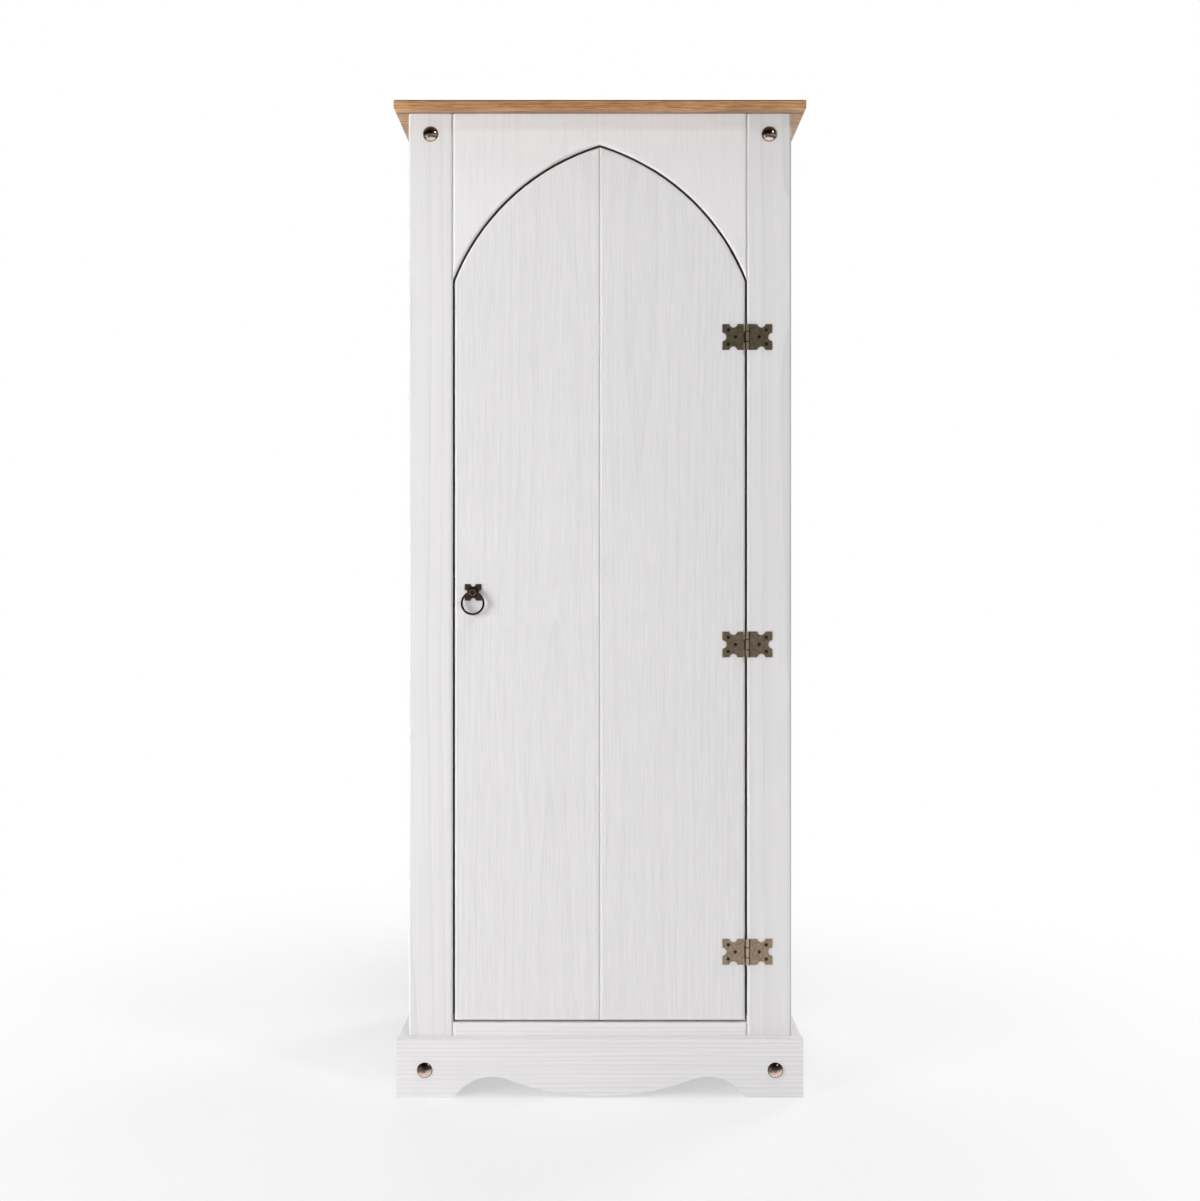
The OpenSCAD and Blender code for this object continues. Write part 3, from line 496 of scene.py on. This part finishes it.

# %% [markdown]
# ## Bronzed iron
# The hinges, the pull and the studs are steel with a bronzed coat: a little greenish where it is
# flat, coppery where handling has thinned it. What makes such metal look dark or bright is mostly
# what it reflects, so its own colour stays plain and the care goes into how rough it is. The hinge
# leaves were brushed aslant before they were coloured, which blurs reflections along fine lines,
# while the studs and the ring are almost polished.

# %% Bronzed iron
# The first colour is painted shade and painted dark reflection. The second is for worn places,
# partly painted highlight.
SHADE_AND_DARK_REFLECTION = srgb(52, 40, 38)
WORN_AND_HIGHLIGHT = srgb(228, 190, 168)
BRUSHED_ASLANT = 40  # degrees
BRUSH_LINES = (110.0, 200.0, 560.0)


def bronzed(name, body, thin, roughness, brushed, wear_and_painted_light=None):
    """A bronzed coat, from the colour of its flats to the colour where it has thinned."""
    material, tree, shader = new_finish(name)
    place = place_of(tree)
    aslant = add(tree, "VectorRotate", {
        "Vector": place, "Axis": (0, 1, 0), "Angle": math.radians(BRUSHED_ASLANT),
    }).outputs[0]
    brush = noise(tree, scaled(tree, aslant, BRUSH_LINES), 1.0, detail=3.0, roughness=0.6)
    patina = noise(tree, place, 260.0, detail=4.0, roughness=0.65)
    pits = noise(tree, place, 2600.0)
    mixed = plus(tree, times(tree, brush, 0.5 * brushed), times(tree, patina, 1 - 0.5 * brushed))
    coat = blend(tree, between(tree, mixed, 0.38, 0.62), body, thin)
    if wear_and_painted_light:
        # Painted shade and dark reflection, and worn places that are partly painted highlight.
        black, worn_and_highlight = wear_and_painted_light(tree)
        coat = blend(tree, black, blend(tree, worn_and_highlight, coat, WORN_AND_HIGHLIGHT), SHADE_AND_DARK_REFLECTION)
    worn = plus(tree, times(tree, brush, 0.12 * brushed), times(tree, patina, 0.10))
    colour_with(tree, shader, coat, plus(tree, worn, roughness - 0.08))
    shader.inputs["Metallic"].default_value = 1.0
    height = plus(tree, times(tree, brush, brushed), times(tree, pits, 0.25))
    relief(tree, shader, height, depth=0.00003)
    return material


print("brushed at", BRUSHED_ASLANT, "degrees")

# %% [markdown]
# ## Where hands rub, and where shade is painted
# Hands rub what stands proud and never reach into corners, where shade falls. Each marked place is
# a band of distances from an axis, such as the hinge's pin or the post of the pull, and on the studs
# it is a matter of which way the dome looks. Each gives two shares: how black a spot is, which is
# painted shade, and on the studs' upper halves painted dark reflection, and how worn, which on the
# hinge's crown and the post's rim is partly a painted highlight.

# %% Measure the pins and the post
pin_boxes = [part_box(f"{level}_hinge_pin") for level in ("lower", "middle", "upper")]
post_low, post_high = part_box("pull_post")
PIN_X, PIN_Y = [(pin_boxes[0][0][axis] + pin_boxes[0][1][axis]) / 2 for axis in (0, 1)]
PIN_ZS = [(low.z + high.z) / 2 for low, high in pin_boxes]
POST_X, POST_Z = (post_low.x + post_high.x) / 2, (post_low.z + post_high.z) / 2
print(f"hinge pins at {PIN_X:.4f}, {PIN_Y:.4f}, pull's post at {POST_X:.4f}, {POST_Z:.4f}")

# %% Worn places and painted shade of the hinges, the pull and the studs
KNUCKLE_HALF = 0.0078  # metres from a pin's middle to a joint between knuckles
BARREL_EDGE = 0.0034
CREASE = (0.0029, 0.0033, 0.0042, 0.0048)  # beside the barrel: rise, full, fade, gone
NOWHERE = 0.0


def hinge_shade_and_worn_crown(tree):
    """Painted shade in the creases beside the barrel and in its knuckles' joints, and a worn crown
    that is partly a painted highlight.
    """
    at = split(tree, place_of(tree))
    away = size(tree, minus(tree, at["X"], PIN_X))
    black = band(tree, away, *CREASE)
    on_barrel = calc(tree, "LESS_THAN", away, BARREL_EDGE)
    for z in PIN_ZS:
        from_joint = size(tree, minus(tree, size(tree, minus(tree, at["Z"], z)), KNUCKLE_HALF))
        joint = times(tree, falling(tree, from_joint, 0.0006, 0.0010), on_barrel)
        black = larger(tree, black, joint)
    crown = times(tree, falling(tree, away, 0.0012, 0.0024),
                  falling(tree, at["Y"], PIN_Y - 0.0026, PIN_Y - 0.0018))
    return times(tree, black, 0.9), times(tree, crown, 0.8)


def post_distance(tree):
    """How far each place is from the middle line of the pull's post."""
    at = split(tree, place_of(tree))
    across, up = minus(tree, at["X"], POST_X), minus(tree, at["Z"], POST_Z)
    return length(tree, vector(tree, across, 0.0, up))


def post_worn_rim_and_highlight(tree):
    """The rim of the post's head is worn lighter, partly as a painted highlight, and its middle
    keeps its coat.
    """
    return NOWHERE, times(tree, between(tree, post_distance(tree), 0.0040, 0.0045), 0.75)


def plate_painted_shadow(tree):
    """Painted shadow round the post: the plate is darkened there."""
    return times(tree, falling(tree, post_distance(tree), 0.0065, 0.0100), 0.7), NOWHERE


def stud_painted_reflection(tree):
    """Painted dark reflection on the dome's upper half, and painted shade round its foot."""
    facing = facing_of(tree)
    foot = falling(tree, size(tree, facing["Y"]), 0.63, 0.77)
    upward = minus(tree, facing["Z"], times(tree, facing["X"], 0.25))
    above = between(tree, upward, -0.30, 0.18)
    return times(tree, larger(tree, foot, above), 0.85), NOWHERE


print("joints between knuckles at", round(KNUCKLE_HALF / MM, 1), "mm from the middle of each hinge")

# %% [markdown]
# ## Screws, magnet and mouldings
# Inside, the fittings are plain: zinc-plated screws and strike plate, a grey ferrite magnet, a
# black moulded catch and the white strip between the two halves of the back. Plating is bright with
# a cloudy crystal pattern, and mouldings have a fine spark-eroded texture.

# %% Zinc, ferrite and mouldings
ZINC_COLOURS = srgb(196, 198, 200), srgb(168, 171, 176)


def zinc_plate(name):
    """Bright plating with cloudy crystals."""
    material, tree, shader = new_finish(name)
    place = place_of(tree)
    cells = add(tree, "TexVoronoi", {"Vector": place, "Scale": 420.0}).outputs["Distance"]
    haze = noise(tree, place, 900.0, detail=3.0)
    colour_with(tree, shader, blend(tree, haze, *ZINC_COLOURS),
                between(tree, plus(tree, cells, haze), 0.4, 1.4, 0.28, 0.46))
    shader.inputs["Metallic"].default_value = 1.0
    relief(tree, shader, haze, depth=0.00001)
    return material


def moulding(name, colour, shade, roughness):
    """A moulded piece, with the fine texture of its mould."""
    material, tree, shader = new_finish(name)
    place = place_of(tree)
    spark = noise(tree, place, 2200.0)
    cloud = noise(tree, place, 45.0, detail=3.0)
    colour_with(tree, shader, blend(tree, cloud, colour, shade),
                between(tree, spark, 0.3, 0.7, roughness - 0.06, roughness + 0.06))
    relief(tree, shader, spark, depth=0.00002)
    return material


print("zinc from", [round(c, 3) for c in ZINC_COLOURS[0][:3]])

# %% [markdown]
# ## Which board is which
# No two boards are cut from the same place, so each gets its own stretch of trunk, by number. The
# lay of the grain follows the joiner's rule: along the length of a piece, so stiles and door
# boards run up, and the rail, the plinth, the shelves and the top run across. Narrow pieces were
# cut far from the trunk's heart and have straight lines. The wide ones lay near it and show narrow
# flames.

# %% Paint the boards
# How a board lay in the trunk: depth of the heart, its wander, the rings' share of the streaks,
# and how often fibres change along a metre
STRAIGHT = (0.03, 0.012, 0.55, 5.0)
FLAMED = (0.03, 0.025, 0.3, 20.0)
FAR = 0.3  # metres from the trunk's heart
painted_boards = [
    ("left_stile", UP, -FAR, STRAIGHT), ("right_stile", UP, FAR, STRAIGHT),
    ("arch_panel", UP, -0.08, FLAMED),
    ("door_board_left", UP, -0.057, FLAMED), ("door_board_right", UP, 0.075, FLAMED),
    ("bottom_rail", LEVEL, -FAR, STRAIGHT),
    ("plinth_front", LEVEL, -FAR, STRAIGHT), ("plinth_back", LEVEL, 0.05, FLAMED),
    ("left_side_panel", UP_SIDE, 0.05, FLAMED), ("right_side_panel", UP_SIDE, -0.05, FLAMED),
    ("plinth_left", LEVEL_SIDE, FAR, STRAIGHT), ("plinth_right", LEVEL_SIDE, FAR, STRAIGHT),
    ("base_panel", FLAT, 0.0, FLAMED), ("shelf_lower", FLAT, 0.06, FLAMED),
    ("shelf_middle", FLAT, -0.04, FLAMED), ("shelf_upper", FLAT, 0.02, FLAMED),
    ("lower_door_ledge", LEVEL, 0.20, FLAMED), ("middle_door_ledge", LEVEL, 0.70, FLAMED),
    ("upper_door_ledge", LEVEL, 1.15, FLAMED),
]
LEVEL_CONTRAST, OTHER_CONTRAST = 1.4, 0.8
# The arch panel and the bottom rail get a lighter tone to make up for shade that falls on them:
# painted light.
PALER_AGAINST_SHADE = {"arch_panel": 0.5, "bottom_rail": 0.3}
ROUND_THE_DOOR = {"left_stile", "right_stile", "arch_panel", "bottom_rail",
                  "door_board_left", "door_board_right"}


def dress(names, material):
    """Puts one finish on some pieces, in place of what they had."""
    for name in names:
        slots = nodes[name].data.materials
        slots.clear()
        slots.append(material)


for board, (name, lay, heart_x, cut) in enumerate(painted_boards, start=1):
    contrast = LEVEL_CONTRAST if lay == LEVEL else OTHER_CONTRAST
    paint = painted_pine("paint_" + name, lay, board, heart_x, cut, contrast,
                         PALER_AGAINST_SHADE.get(name, 0.0), name in ROUND_THE_DOOR)
    dress([name], paint)
print("painted boards:", len(painted_boards))

# %% [markdown]
# ## The rest of the pieces
# Wood that isn't seen stays bare, and so do the dowels. The bronzed pieces share one recipe and
# differ in colour, shine and wear: the studs are the brightest, the ring and the post are dark, and
# the screws are nearly black. Last comes a look for pieces that were left without a finish.

# %% Wood and mouldings
dress(["top_panel"], waxed_pine("wax_top_panel", FLAT, 2))
dress(["top_front_rail", "top_back_rail"], bare_pine("bare_rails", LEVEL, 4))
dress(["plinth_corner_blocks", "stile_dowels"], bare_pine("bare_blocks", UP, 5))
dress(["carcass_dowels", "frame_dowels"], bare_pine("bare_dowels", LEVEL, 6))
dress(["back_panel_lower", "back_panel_upper"], hardboard("hardboard"))
for name, finish, colour, shade, roughness in (
    ("back_joining_strip", "white_strip", srgb(228, 227, 224), srgb(219, 218, 215), 0.42),
    ("catch_housing", "black_catch", srgb(32, 32, 33), srgb(26, 26, 27), 0.45),
    ("catch_magnet", "grey_ferrite", srgb(74, 74, 76), srgb(60, 60, 62), 0.55),
):
    dress([name], moulding(finish, colour, shade, roughness))
print("finishes so far:", len(bpy.data.materials))

# %% Ironmongery
hinge_names = [f"{level}_hinge_{part}" for level in ("lower", "middle", "upper")
               for part in ("frame_leaf", "door_leaf", "pin")]
bronze_finishes = [
    ("hinge_bronze", hinge_names, srgb(146, 134, 112), srgb(190, 164, 142), 0.42, 1.0, hinge_shade_and_worn_crown),
    ("plate_bronze", ["pull_backplate"],
     srgb(98, 90, 84), srgb(122, 104, 96), 0.40, 0.6, plate_painted_shadow),
    ("post_bronze", ["pull_post"], srgb(90, 78, 76), srgb(118, 96, 90), 0.28, 0.3, post_worn_rim_and_highlight),
    ("ring_bronze", ["pull_ring"], srgb(74, 54, 50), srgb(108, 78, 70), 0.18, 0.1, None),
    ("stud_bronze", ["stile_studs", "plinth_studs"],
     srgb(216, 192, 182), srgb(234, 208, 196), 0.24, 0.1, stud_painted_reflection),
    ("screw_bronze", ["hinge_frame_screws", "hinge_door_screws"],
     srgb(54, 43, 42), srgb(80, 64, 62), 0.30, 0.2, None),
]
for name, pieces, body, thin, roughness, brushed, wear_and_painted_light in bronze_finishes:
    dress(pieces, bronzed(name, body, thin, roughness, brushed, wear_and_painted_light))
dress(["top_screws", "plinth_screws", "back_nails", "catch_screws", "catch_pole_plates",
       "shelf_pins", "ledge_screws", "strike_plate", "strike_screw", "pull_screw"],
      zinc_plate("zinc_plate"))
unfinished = [name for name, piece in nodes.items()
              if not piece.data.materials or piece.data.materials[0] is None]
print("pieces without a finish:", unfinished)

# %% [markdown]
# ## Eased edges on the ironmongery
# Sheet iron that was stamped, rolled and tumbled has no sharp edge left. A bevel of a third of a
# millimetre rounds the leaves and opens the joints between a hinge's knuckles into fine grooves,
# which makes them show as dark lines. The mesh comes with each face's corners apart, so they are
# welded first, and the normals are weighted by area afterwards, which keeps the flats flat.

# %% Ease the edges
EASED = 0.00035  # metres
WELD_WITHIN = 0.000001
BEVEL_OVER = 40  # degrees between two faces


def ease_edges(names, width):
    """Rounds the sharp edges of some pieces without touching their meshes."""
    for name in names:
        piece = nodes[name]
        weld = piece.modifiers.new("weld", "WELD")
        weld.merge_threshold = WELD_WITHIN
        bevel = piece.modifiers.new("eased", "BEVEL")
        bevel.width = width
        bevel.segments = 2
        bevel.limit_method = "ANGLE"
        bevel.angle_limit = math.radians(BEVEL_OVER)
        normals = piece.modifiers.new("normals", "WEIGHTED_NORMAL")
        normals.keep_sharp = False
    print("eased:", len(names), "pieces by", width / MM, "mm")


ease_edges([name for name in hinge_names if "leaf" in name] + ["pull_backplate"], EASED)

# %% [markdown]
# ## Recesses for the driver
# The joiner left the screw heads plain, as a driver's recess changes nothing for how the cupboard
# holds. To the eye it is most of what a screw is, so here each head gets its cross. The screws of
# a set are one mesh, so they are told apart first, by following edges from corner to corner.


# %% Tell the screws apart
def screws_of(mesh):
    """The separate screws in a mesh, as lists of corner positions."""
    work = bmesh.new()
    work.from_mesh(mesh)
    left = set(work.verts)
    found = []
    while left:
        queue = [left.pop()]
        members = list(queue)
        while queue:
            for edge in queue.pop().link_edges:
                for corner in edge.verts:
                    if corner in left:
                        left.remove(corner)
                        queue.append(corner)
                        members.append(corner)
        found.append([corner.co.copy() for corner in members])
    work.free()
    return found


print("screws are told apart by their edges")

# %% [markdown]
# The cross is a tapered plug: its outline has twelve corners, and it narrows towards the bottom.
# It starts a little above the head, so that the cut is clean.

# %% Shape the plugs
MOUTH_LIFT, MOUTH_SCALE = 0.2, 1.06  # lift as a share of the recess's depth
BOTTOM_SCALE = 0.7


def middle_along(screw, way):
    """The middle of a screw's extent in one direction."""
    return (max(corner.dot(way) for corner in screw) + min(corner.dot(way) for corner in screw)) / 2


def cross_plugs(screws, way, arm, width, depth):
    """One tapered cross over each head, as one mesh. Way is where the heads look."""
    side = Vector((1, 0, 0))
    up = way.cross(side)
    a, w = arm / 2, width / 2
    outline = [(a, -w), (a, w), (w, w), (w, a), (-w, a), (-w, w),
               (-a, w), (-a, -w), (-w, -w), (-w, -a), (w, -a), (w, -w)]
    n = len(outline)
    corners, faces = [], []
    for screw in screws:
        top = max(corner.dot(way) for corner in screw)
        middle_side, middle_up = middle_along(screw, side), middle_along(screw, up)
        base = len(corners)
        for lift, scale in ((depth * MOUTH_LIFT, MOUTH_SCALE), (-depth, BOTTOM_SCALE)):
            for s, u in outline:
                corners.append(side * (middle_side + s * scale) + up * (middle_up + u * scale)
                               + way * (top + lift))
        faces.append([base + k for k in range(n)])
        faces.append([base + 2 * n - 1 - k for k in range(n)])
        faces += [[base + k, base + n + k, base + n + (k + 1) % n, base + (k + 1) % n]
                  for k in range(n)]
    mesh = bpy.data.meshes.new("cross_plugs")
    mesh.from_pydata(corners, [], faces)
    work = bmesh.new()
    work.from_mesh(mesh)
    bmesh.ops.recalc_face_normals(work, faces=work.faces)
    work.to_mesh(mesh)
    work.free()
    return mesh


print("a plug narrows to", BOTTOM_SCALE, "of its outline")

# %% [markdown]
# Every plug of a set is cut out in one go, and the cut set then stands for the plain one. The
# bronzed screws get a near-black colour in their recesses: painted shade.

# %% Cut a cross into each screw head
FRONT, BACK, DOWN = Vector((0, -1, 0)), Vector((0, 1, 0)), Vector((0, 0, -1))
SHARP_OVER = 32  # degrees between two faces
BRONZED_CROSS = {"arm": 0.0048, "width": 0.0022, "depth": 0.0012}
ZINC_CROSS = {"arm": 0.0046, "width": 0.0011, "depth": 0.0020}


def welded_copy(name):
    """A copy of a set of screws, with the corners that its faces share made one."""
    piece = nodes[name].copy()
    piece.data = nodes[name].data.copy()
    piece.name = "crossed_" + name
    piece.parent = None
    bpy.context.scene.collection.objects.link(piece)
    work = bmesh.new()
    work.from_mesh(piece.data)
    bmesh.ops.remove_doubles(work, verts=work.verts, dist=WELD_WITHIN)
    work.to_mesh(piece.data)
    work.free()
    return piece


def smooth_but_for_edges(mesh):
    """Shades a mesh smooth and keeps its sharp edges sharp."""
    if "custom_normal" in mesh.attributes:
        mesh.attributes.remove(mesh.attributes["custom_normal"])
    mesh.shade_smooth()
    mesh.set_sharp_from_angle(angle=math.radians(SHARP_OVER))


def cut_crosses(name, way, cross, recess_shade_finish=None):
    """The set of screws again, with a cross in each head, in place of the plain set."""
    piece = welded_copy(name)
    screws = screws_of(piece.data)
    plugs = bpy.data.objects.new("plugs", cross_plugs(screws, way, **cross))
    bpy.context.scene.collection.objects.link(plugs)
    cut = piece.modifiers.new("crosses", "BOOLEAN")
    cut.object = plugs
    cut.operation = "DIFFERENCE"
    cut.solver = "EXACT"
    if recess_shade_finish:
        plugs.data.materials.append(recess_shade_finish)
        cut.material_mode = "TRANSFER"
    bpy.context.view_layer.update()
    before = len(piece.data.polygons)
    seen = piece.evaluated_get(bpy.context.evaluated_depsgraph_get())
    shaped = bpy.data.meshes.new_from_object(seen)
    piece.modifiers.clear()
    piece.data = shaped
    bpy.data.objects.remove(plugs)
    smooth_but_for_edges(shaped)
    if "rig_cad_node" in piece:
        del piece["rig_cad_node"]
    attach(piece, nodes[name]["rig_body"])
    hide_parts(name)
    print(name, len(screws), "screws, faces", before, "->", len(shaped.polygons))


# Painted shade: a near-black finish for the insides of the bronzed screws' crosses.
painted_recess_shade = moulding("painted_recess_shade", srgb(28, 22, 22), srgb(18, 14, 15), 0.6)
for name in ("hinge_frame_screws", "hinge_door_screws"):
    cut_crosses(name, FRONT, BRONZED_CROSS, painted_recess_shade)
for name in ("ledge_screws", "strike_screw", "catch_screws", "pull_screw"):
    cut_crosses(name, BACK, ZINC_CROSS)
cut_crosses("top_screws", DOWN, ZINC_CROSS)

# %% [markdown]
# ## Lamps
# The photograph tells where its lamps stood. The ring throws its shadow ten millimetres to the
# right and hardly any lower, so one lamp is at the left, level with the cupboard. The top throws a
# soft, pale shadow three centimetres down the front, so a second lamp hangs high up at the right.
# The ledge of the plinth is as bright as the front, so a third one hangs above. Metal would show
# each lamp as a glaring white square, so reflections see cards in their place, as further down.
# Two more lamps light the back, where they can't reach the front.

# %% Hang the lamps
LAMPS = {  # place and side in metres, and watts
    "left_lamp": ((-3.3, -2.5, 0.95), 2.0, 132),
    "high_lamp": ((4.6, -3.4, 5.7), 1.0, 108),
    "ceiling_lamp": ((0.3, -1.3, 7.5), 1.0, 110),
    "left_back_lamp": ((-1.0, 3.2, 1.6), 1.4, 36),
    "right_back_lamp": ((2.4, 2.4, 1.6), 1.4, 64),
}


def soft_lamp(name, at, side, watts, target):
    """A square lamp that looks at the target and that reflections don't see."""
    lamp = bpy.data.lights.new(name, "AREA")
    lamp.shape = "SQUARE"
    lamp.size = side
    lamp.energy = watts
    thing = bpy.data.objects.new(name, lamp)
    thing.location = at
    thing.rotation_euler = (target - Vector(at)).to_track_quat("-Z", "Y").to_euler()
    thing.visible_camera = False
    thing.visible_glossy = False
    bpy.context.scene.collection.objects.link(thing)


middle = (cad_low + cad_high) / 2
for name, (at, side, watts) in LAMPS.items():
    soft_lamp(name, at, side, watts, middle)

# %% [markdown]
# ## Floor and room
# The floor is white paper that takes the cupboard's shadow and turns into plain white further out.
# The room is white as well, and it lights the cupboard evenly from all round. Both look brighter
# than the light they give: what the camera or a reflection sees is white, while the light that
# falls on the cupboard is turned down, or its pale paint would lose its shades.


# %% Make the floor
def stage_mesh(name, corners, faces, material):
    """A piece of the studio, which doesn't belong to the cupboard."""
    mesh = bpy.data.meshes.new(name)
    mesh.from_pydata(corners, [], faces)
    mesh.materials.append(material)
    thing = bpy.data.objects.new(name, mesh)
    bpy.context.scene.collection.objects.link(thing)
    return thing


def not_for_light(tree):
    """1 where the camera, a reflection or glass looks, and 0 for light that falls on things."""
    path = add(tree, "LightPath").outputs
    seen = larger(tree, path["Is Camera Ray"], path["Is Glossy Ray"])
    return larger(tree, seen, path["Is Transmission Ray"])


FLOOR = 8.0  # metres from the middle to each side
PAPER_COLOURS = srgb(250, 250, 250), srgb(247, 247, 247)
GLOW_NEAR, GLOW_FAR = 0.4, 1.5  # metres from the middle
NEAR_SHARE = 0.55
paper, tree, shader = new_finish("white_paper")
place = place_of(tree)
tree.links.new(blend(tree, noise(tree, place, 40.0, detail=3.0), *PAPER_COLOURS),
               shader.inputs["Base Color"])
shader.inputs["Roughness"].default_value = 0.9
white = add(tree, "Emission", {"Color": (1, 1, 1, 1), "Strength": 1.0})
glow = between(tree, length(tree, place), GLOW_NEAR, GLOW_FAR, NEAR_SHARE, 1.0)
share = times(tree, not_for_light(tree), glow)
show_instead(tree, add(tree, "MixShader", {0: share, 1: shader.outputs[0], 2: white.outputs[0]}))
floor_corners = [(-FLOOR, -FLOOR, 0), (FLOOR, -FLOOR, 0), (FLOOR, FLOOR, 0), (-FLOOR, FLOOR, 0)]
stage_mesh("floor", floor_corners, [(0, 1, 2, 3)], paper)
print("paper of", 2 * FLOOR, "m")

# %% Light the room
ROOM_LIGHT = 0.12
world = bpy.data.worlds.new("studio")
bpy.context.scene.world = world
world.use_nodes = True
tree = world.node_tree
tree.nodes.clear()
strength = plus(tree, times(tree, not_for_light(tree), 1 - ROOM_LIGHT), ROOM_LIGHT)
room = add(tree, "Background", {"Color": (1, 1, 1, 1), "Strength": strength})
tree.links.new(room.outputs[0], add(tree, "OutputWorld").inputs[0])
bpy.context.scene.view_settings.view_transform = "Standard"
print("the room lights the cupboard with", ROOM_LIGHT, "of white")

# %% [markdown]
# ## Black cloth and white cards
# Dark metal needs one thing more: bronze is only as dark as what it reflects, so photographers hang
# black cloth round the front, above the floor, and then hold up white cards where the metal should
# shine. Here the cloth is curved, and only reflections can see it. It glows a little grey at the
# height that the upper hinge looks at: painted light, in place of lit cloth. The cards glow by
# themselves as well. One card stands low at the left and gives the hinges' barrels their stripe. A
# small, very bright one hangs high at the right and puts a white dot at the upper right of each
# stud, as in the photograph.

# %% Hang the cloth
CLOTH_COLOURS = srgb(44, 42, 40), srgb(34, 32, 30)
GREY_HEIGHTS = (0.1, 1.3, 1.9, 2.4)  # rise, full, fade and gone, in metres
GREY_LIGHT = (0.26, 0.325, 0.29, 1)
CLOTH_RADIUS = 4.2
CLOTH_HALF_TURN, CLOTH_STEP = 115, 5  # degrees
CLOTH_ROWS = [(0.65, 0.02), (1.0, 0.04), (1.0, 2.4), (0.85, 3.6), (0.5, 4.3), (0.0, 4.5)]


def only_reflected(thing):
    """Shows a thing in reflections alone."""
    thing.visible_camera = False
    thing.visible_diffuse = False
    thing.visible_shadow = False
    thing.visible_transmission = False


cloth_stuff, tree, shader = new_finish("black_cloth")
place = place_of(tree)
tree.links.new(blend(tree, noise(tree, place, 300.0), *CLOTH_COLOURS), shader.inputs["Base Color"])
shader.inputs["Roughness"].default_value = 1.0
# Painted light: the cloth glows grey in this band of heights.
grey = band(tree, split(tree, place)["Z"], *GREY_HEIGHTS)
tree.links.new(blend(tree, grey, (0, 0, 0, 1), GREY_LIGHT), shader.inputs["Emission Color"])
shader.inputs["Emission Strength"].default_value = 1.0
steps = 2 * CLOTH_HALF_TURN // CLOTH_STEP
arc = [math.radians(-CLOTH_HALF_TURN + CLOTH_STEP * k) for k in range(steps + 1)]
corners = [(share * CLOTH_RADIUS * math.sin(a), -share * CLOTH_RADIUS * math.cos(a), z)
           for share, z in CLOTH_ROWS for a in arc]
strip = len(arc)
faces = [(i * strip + k, i * strip + k + 1, (i + 1) * strip + k + 1, (i + 1) * strip + k)
         for i in range(len(CLOTH_ROWS) - 1) for k in range(strip - 1)]
only_reflected(stage_mesh("black_cloth", corners, faces, cloth_stuff))
print("cloth of", len(faces), "faces at", CLOTH_RADIUS, "m")

# %% Hold up the cards
CARD_COLOURS = srgb(255, 246, 238), srgb(250, 238, 230)
CARDS = {  # place on the floor plan, width, lower and upper edge in metres, and strength
    "low_card": ((-3.3, -2.35), 1.4, 0.05, 0.9, 1.8),
    "high_card": ((2.3, -1.95), 0.4, 3.05, 3.45, 48.0),
}


def card(name, at, width, low, high, strength):
    """An upright white card that glows, faces the cupboard and shows in reflections alone."""
    material, tree, shader = new_finish(name)
    tint = blend(tree, noise(tree, place_of(tree), 8.0), *CARD_COLOURS)
    show_instead(tree, add(tree, "Emission", {"Color": tint, "Strength": strength}))
    across = Vector((-at[1], at[0], 0)).normalized() * width / 2
    left, right = Vector((*at, 0)) - across, Vector((*at, 0)) + across
    corners = [(left.x, left.y, low), (right.x, right.y, low),
               (right.x, right.y, high), (left.x, left.y, high)]
    only_reflected(stage_mesh(name, corners, [(0, 1, 2, 3)], material))


for name, (at, width, low, high, strength) in CARDS.items():
    card(name, at, width, low, high, strength)
print("cards:", list(CARDS))
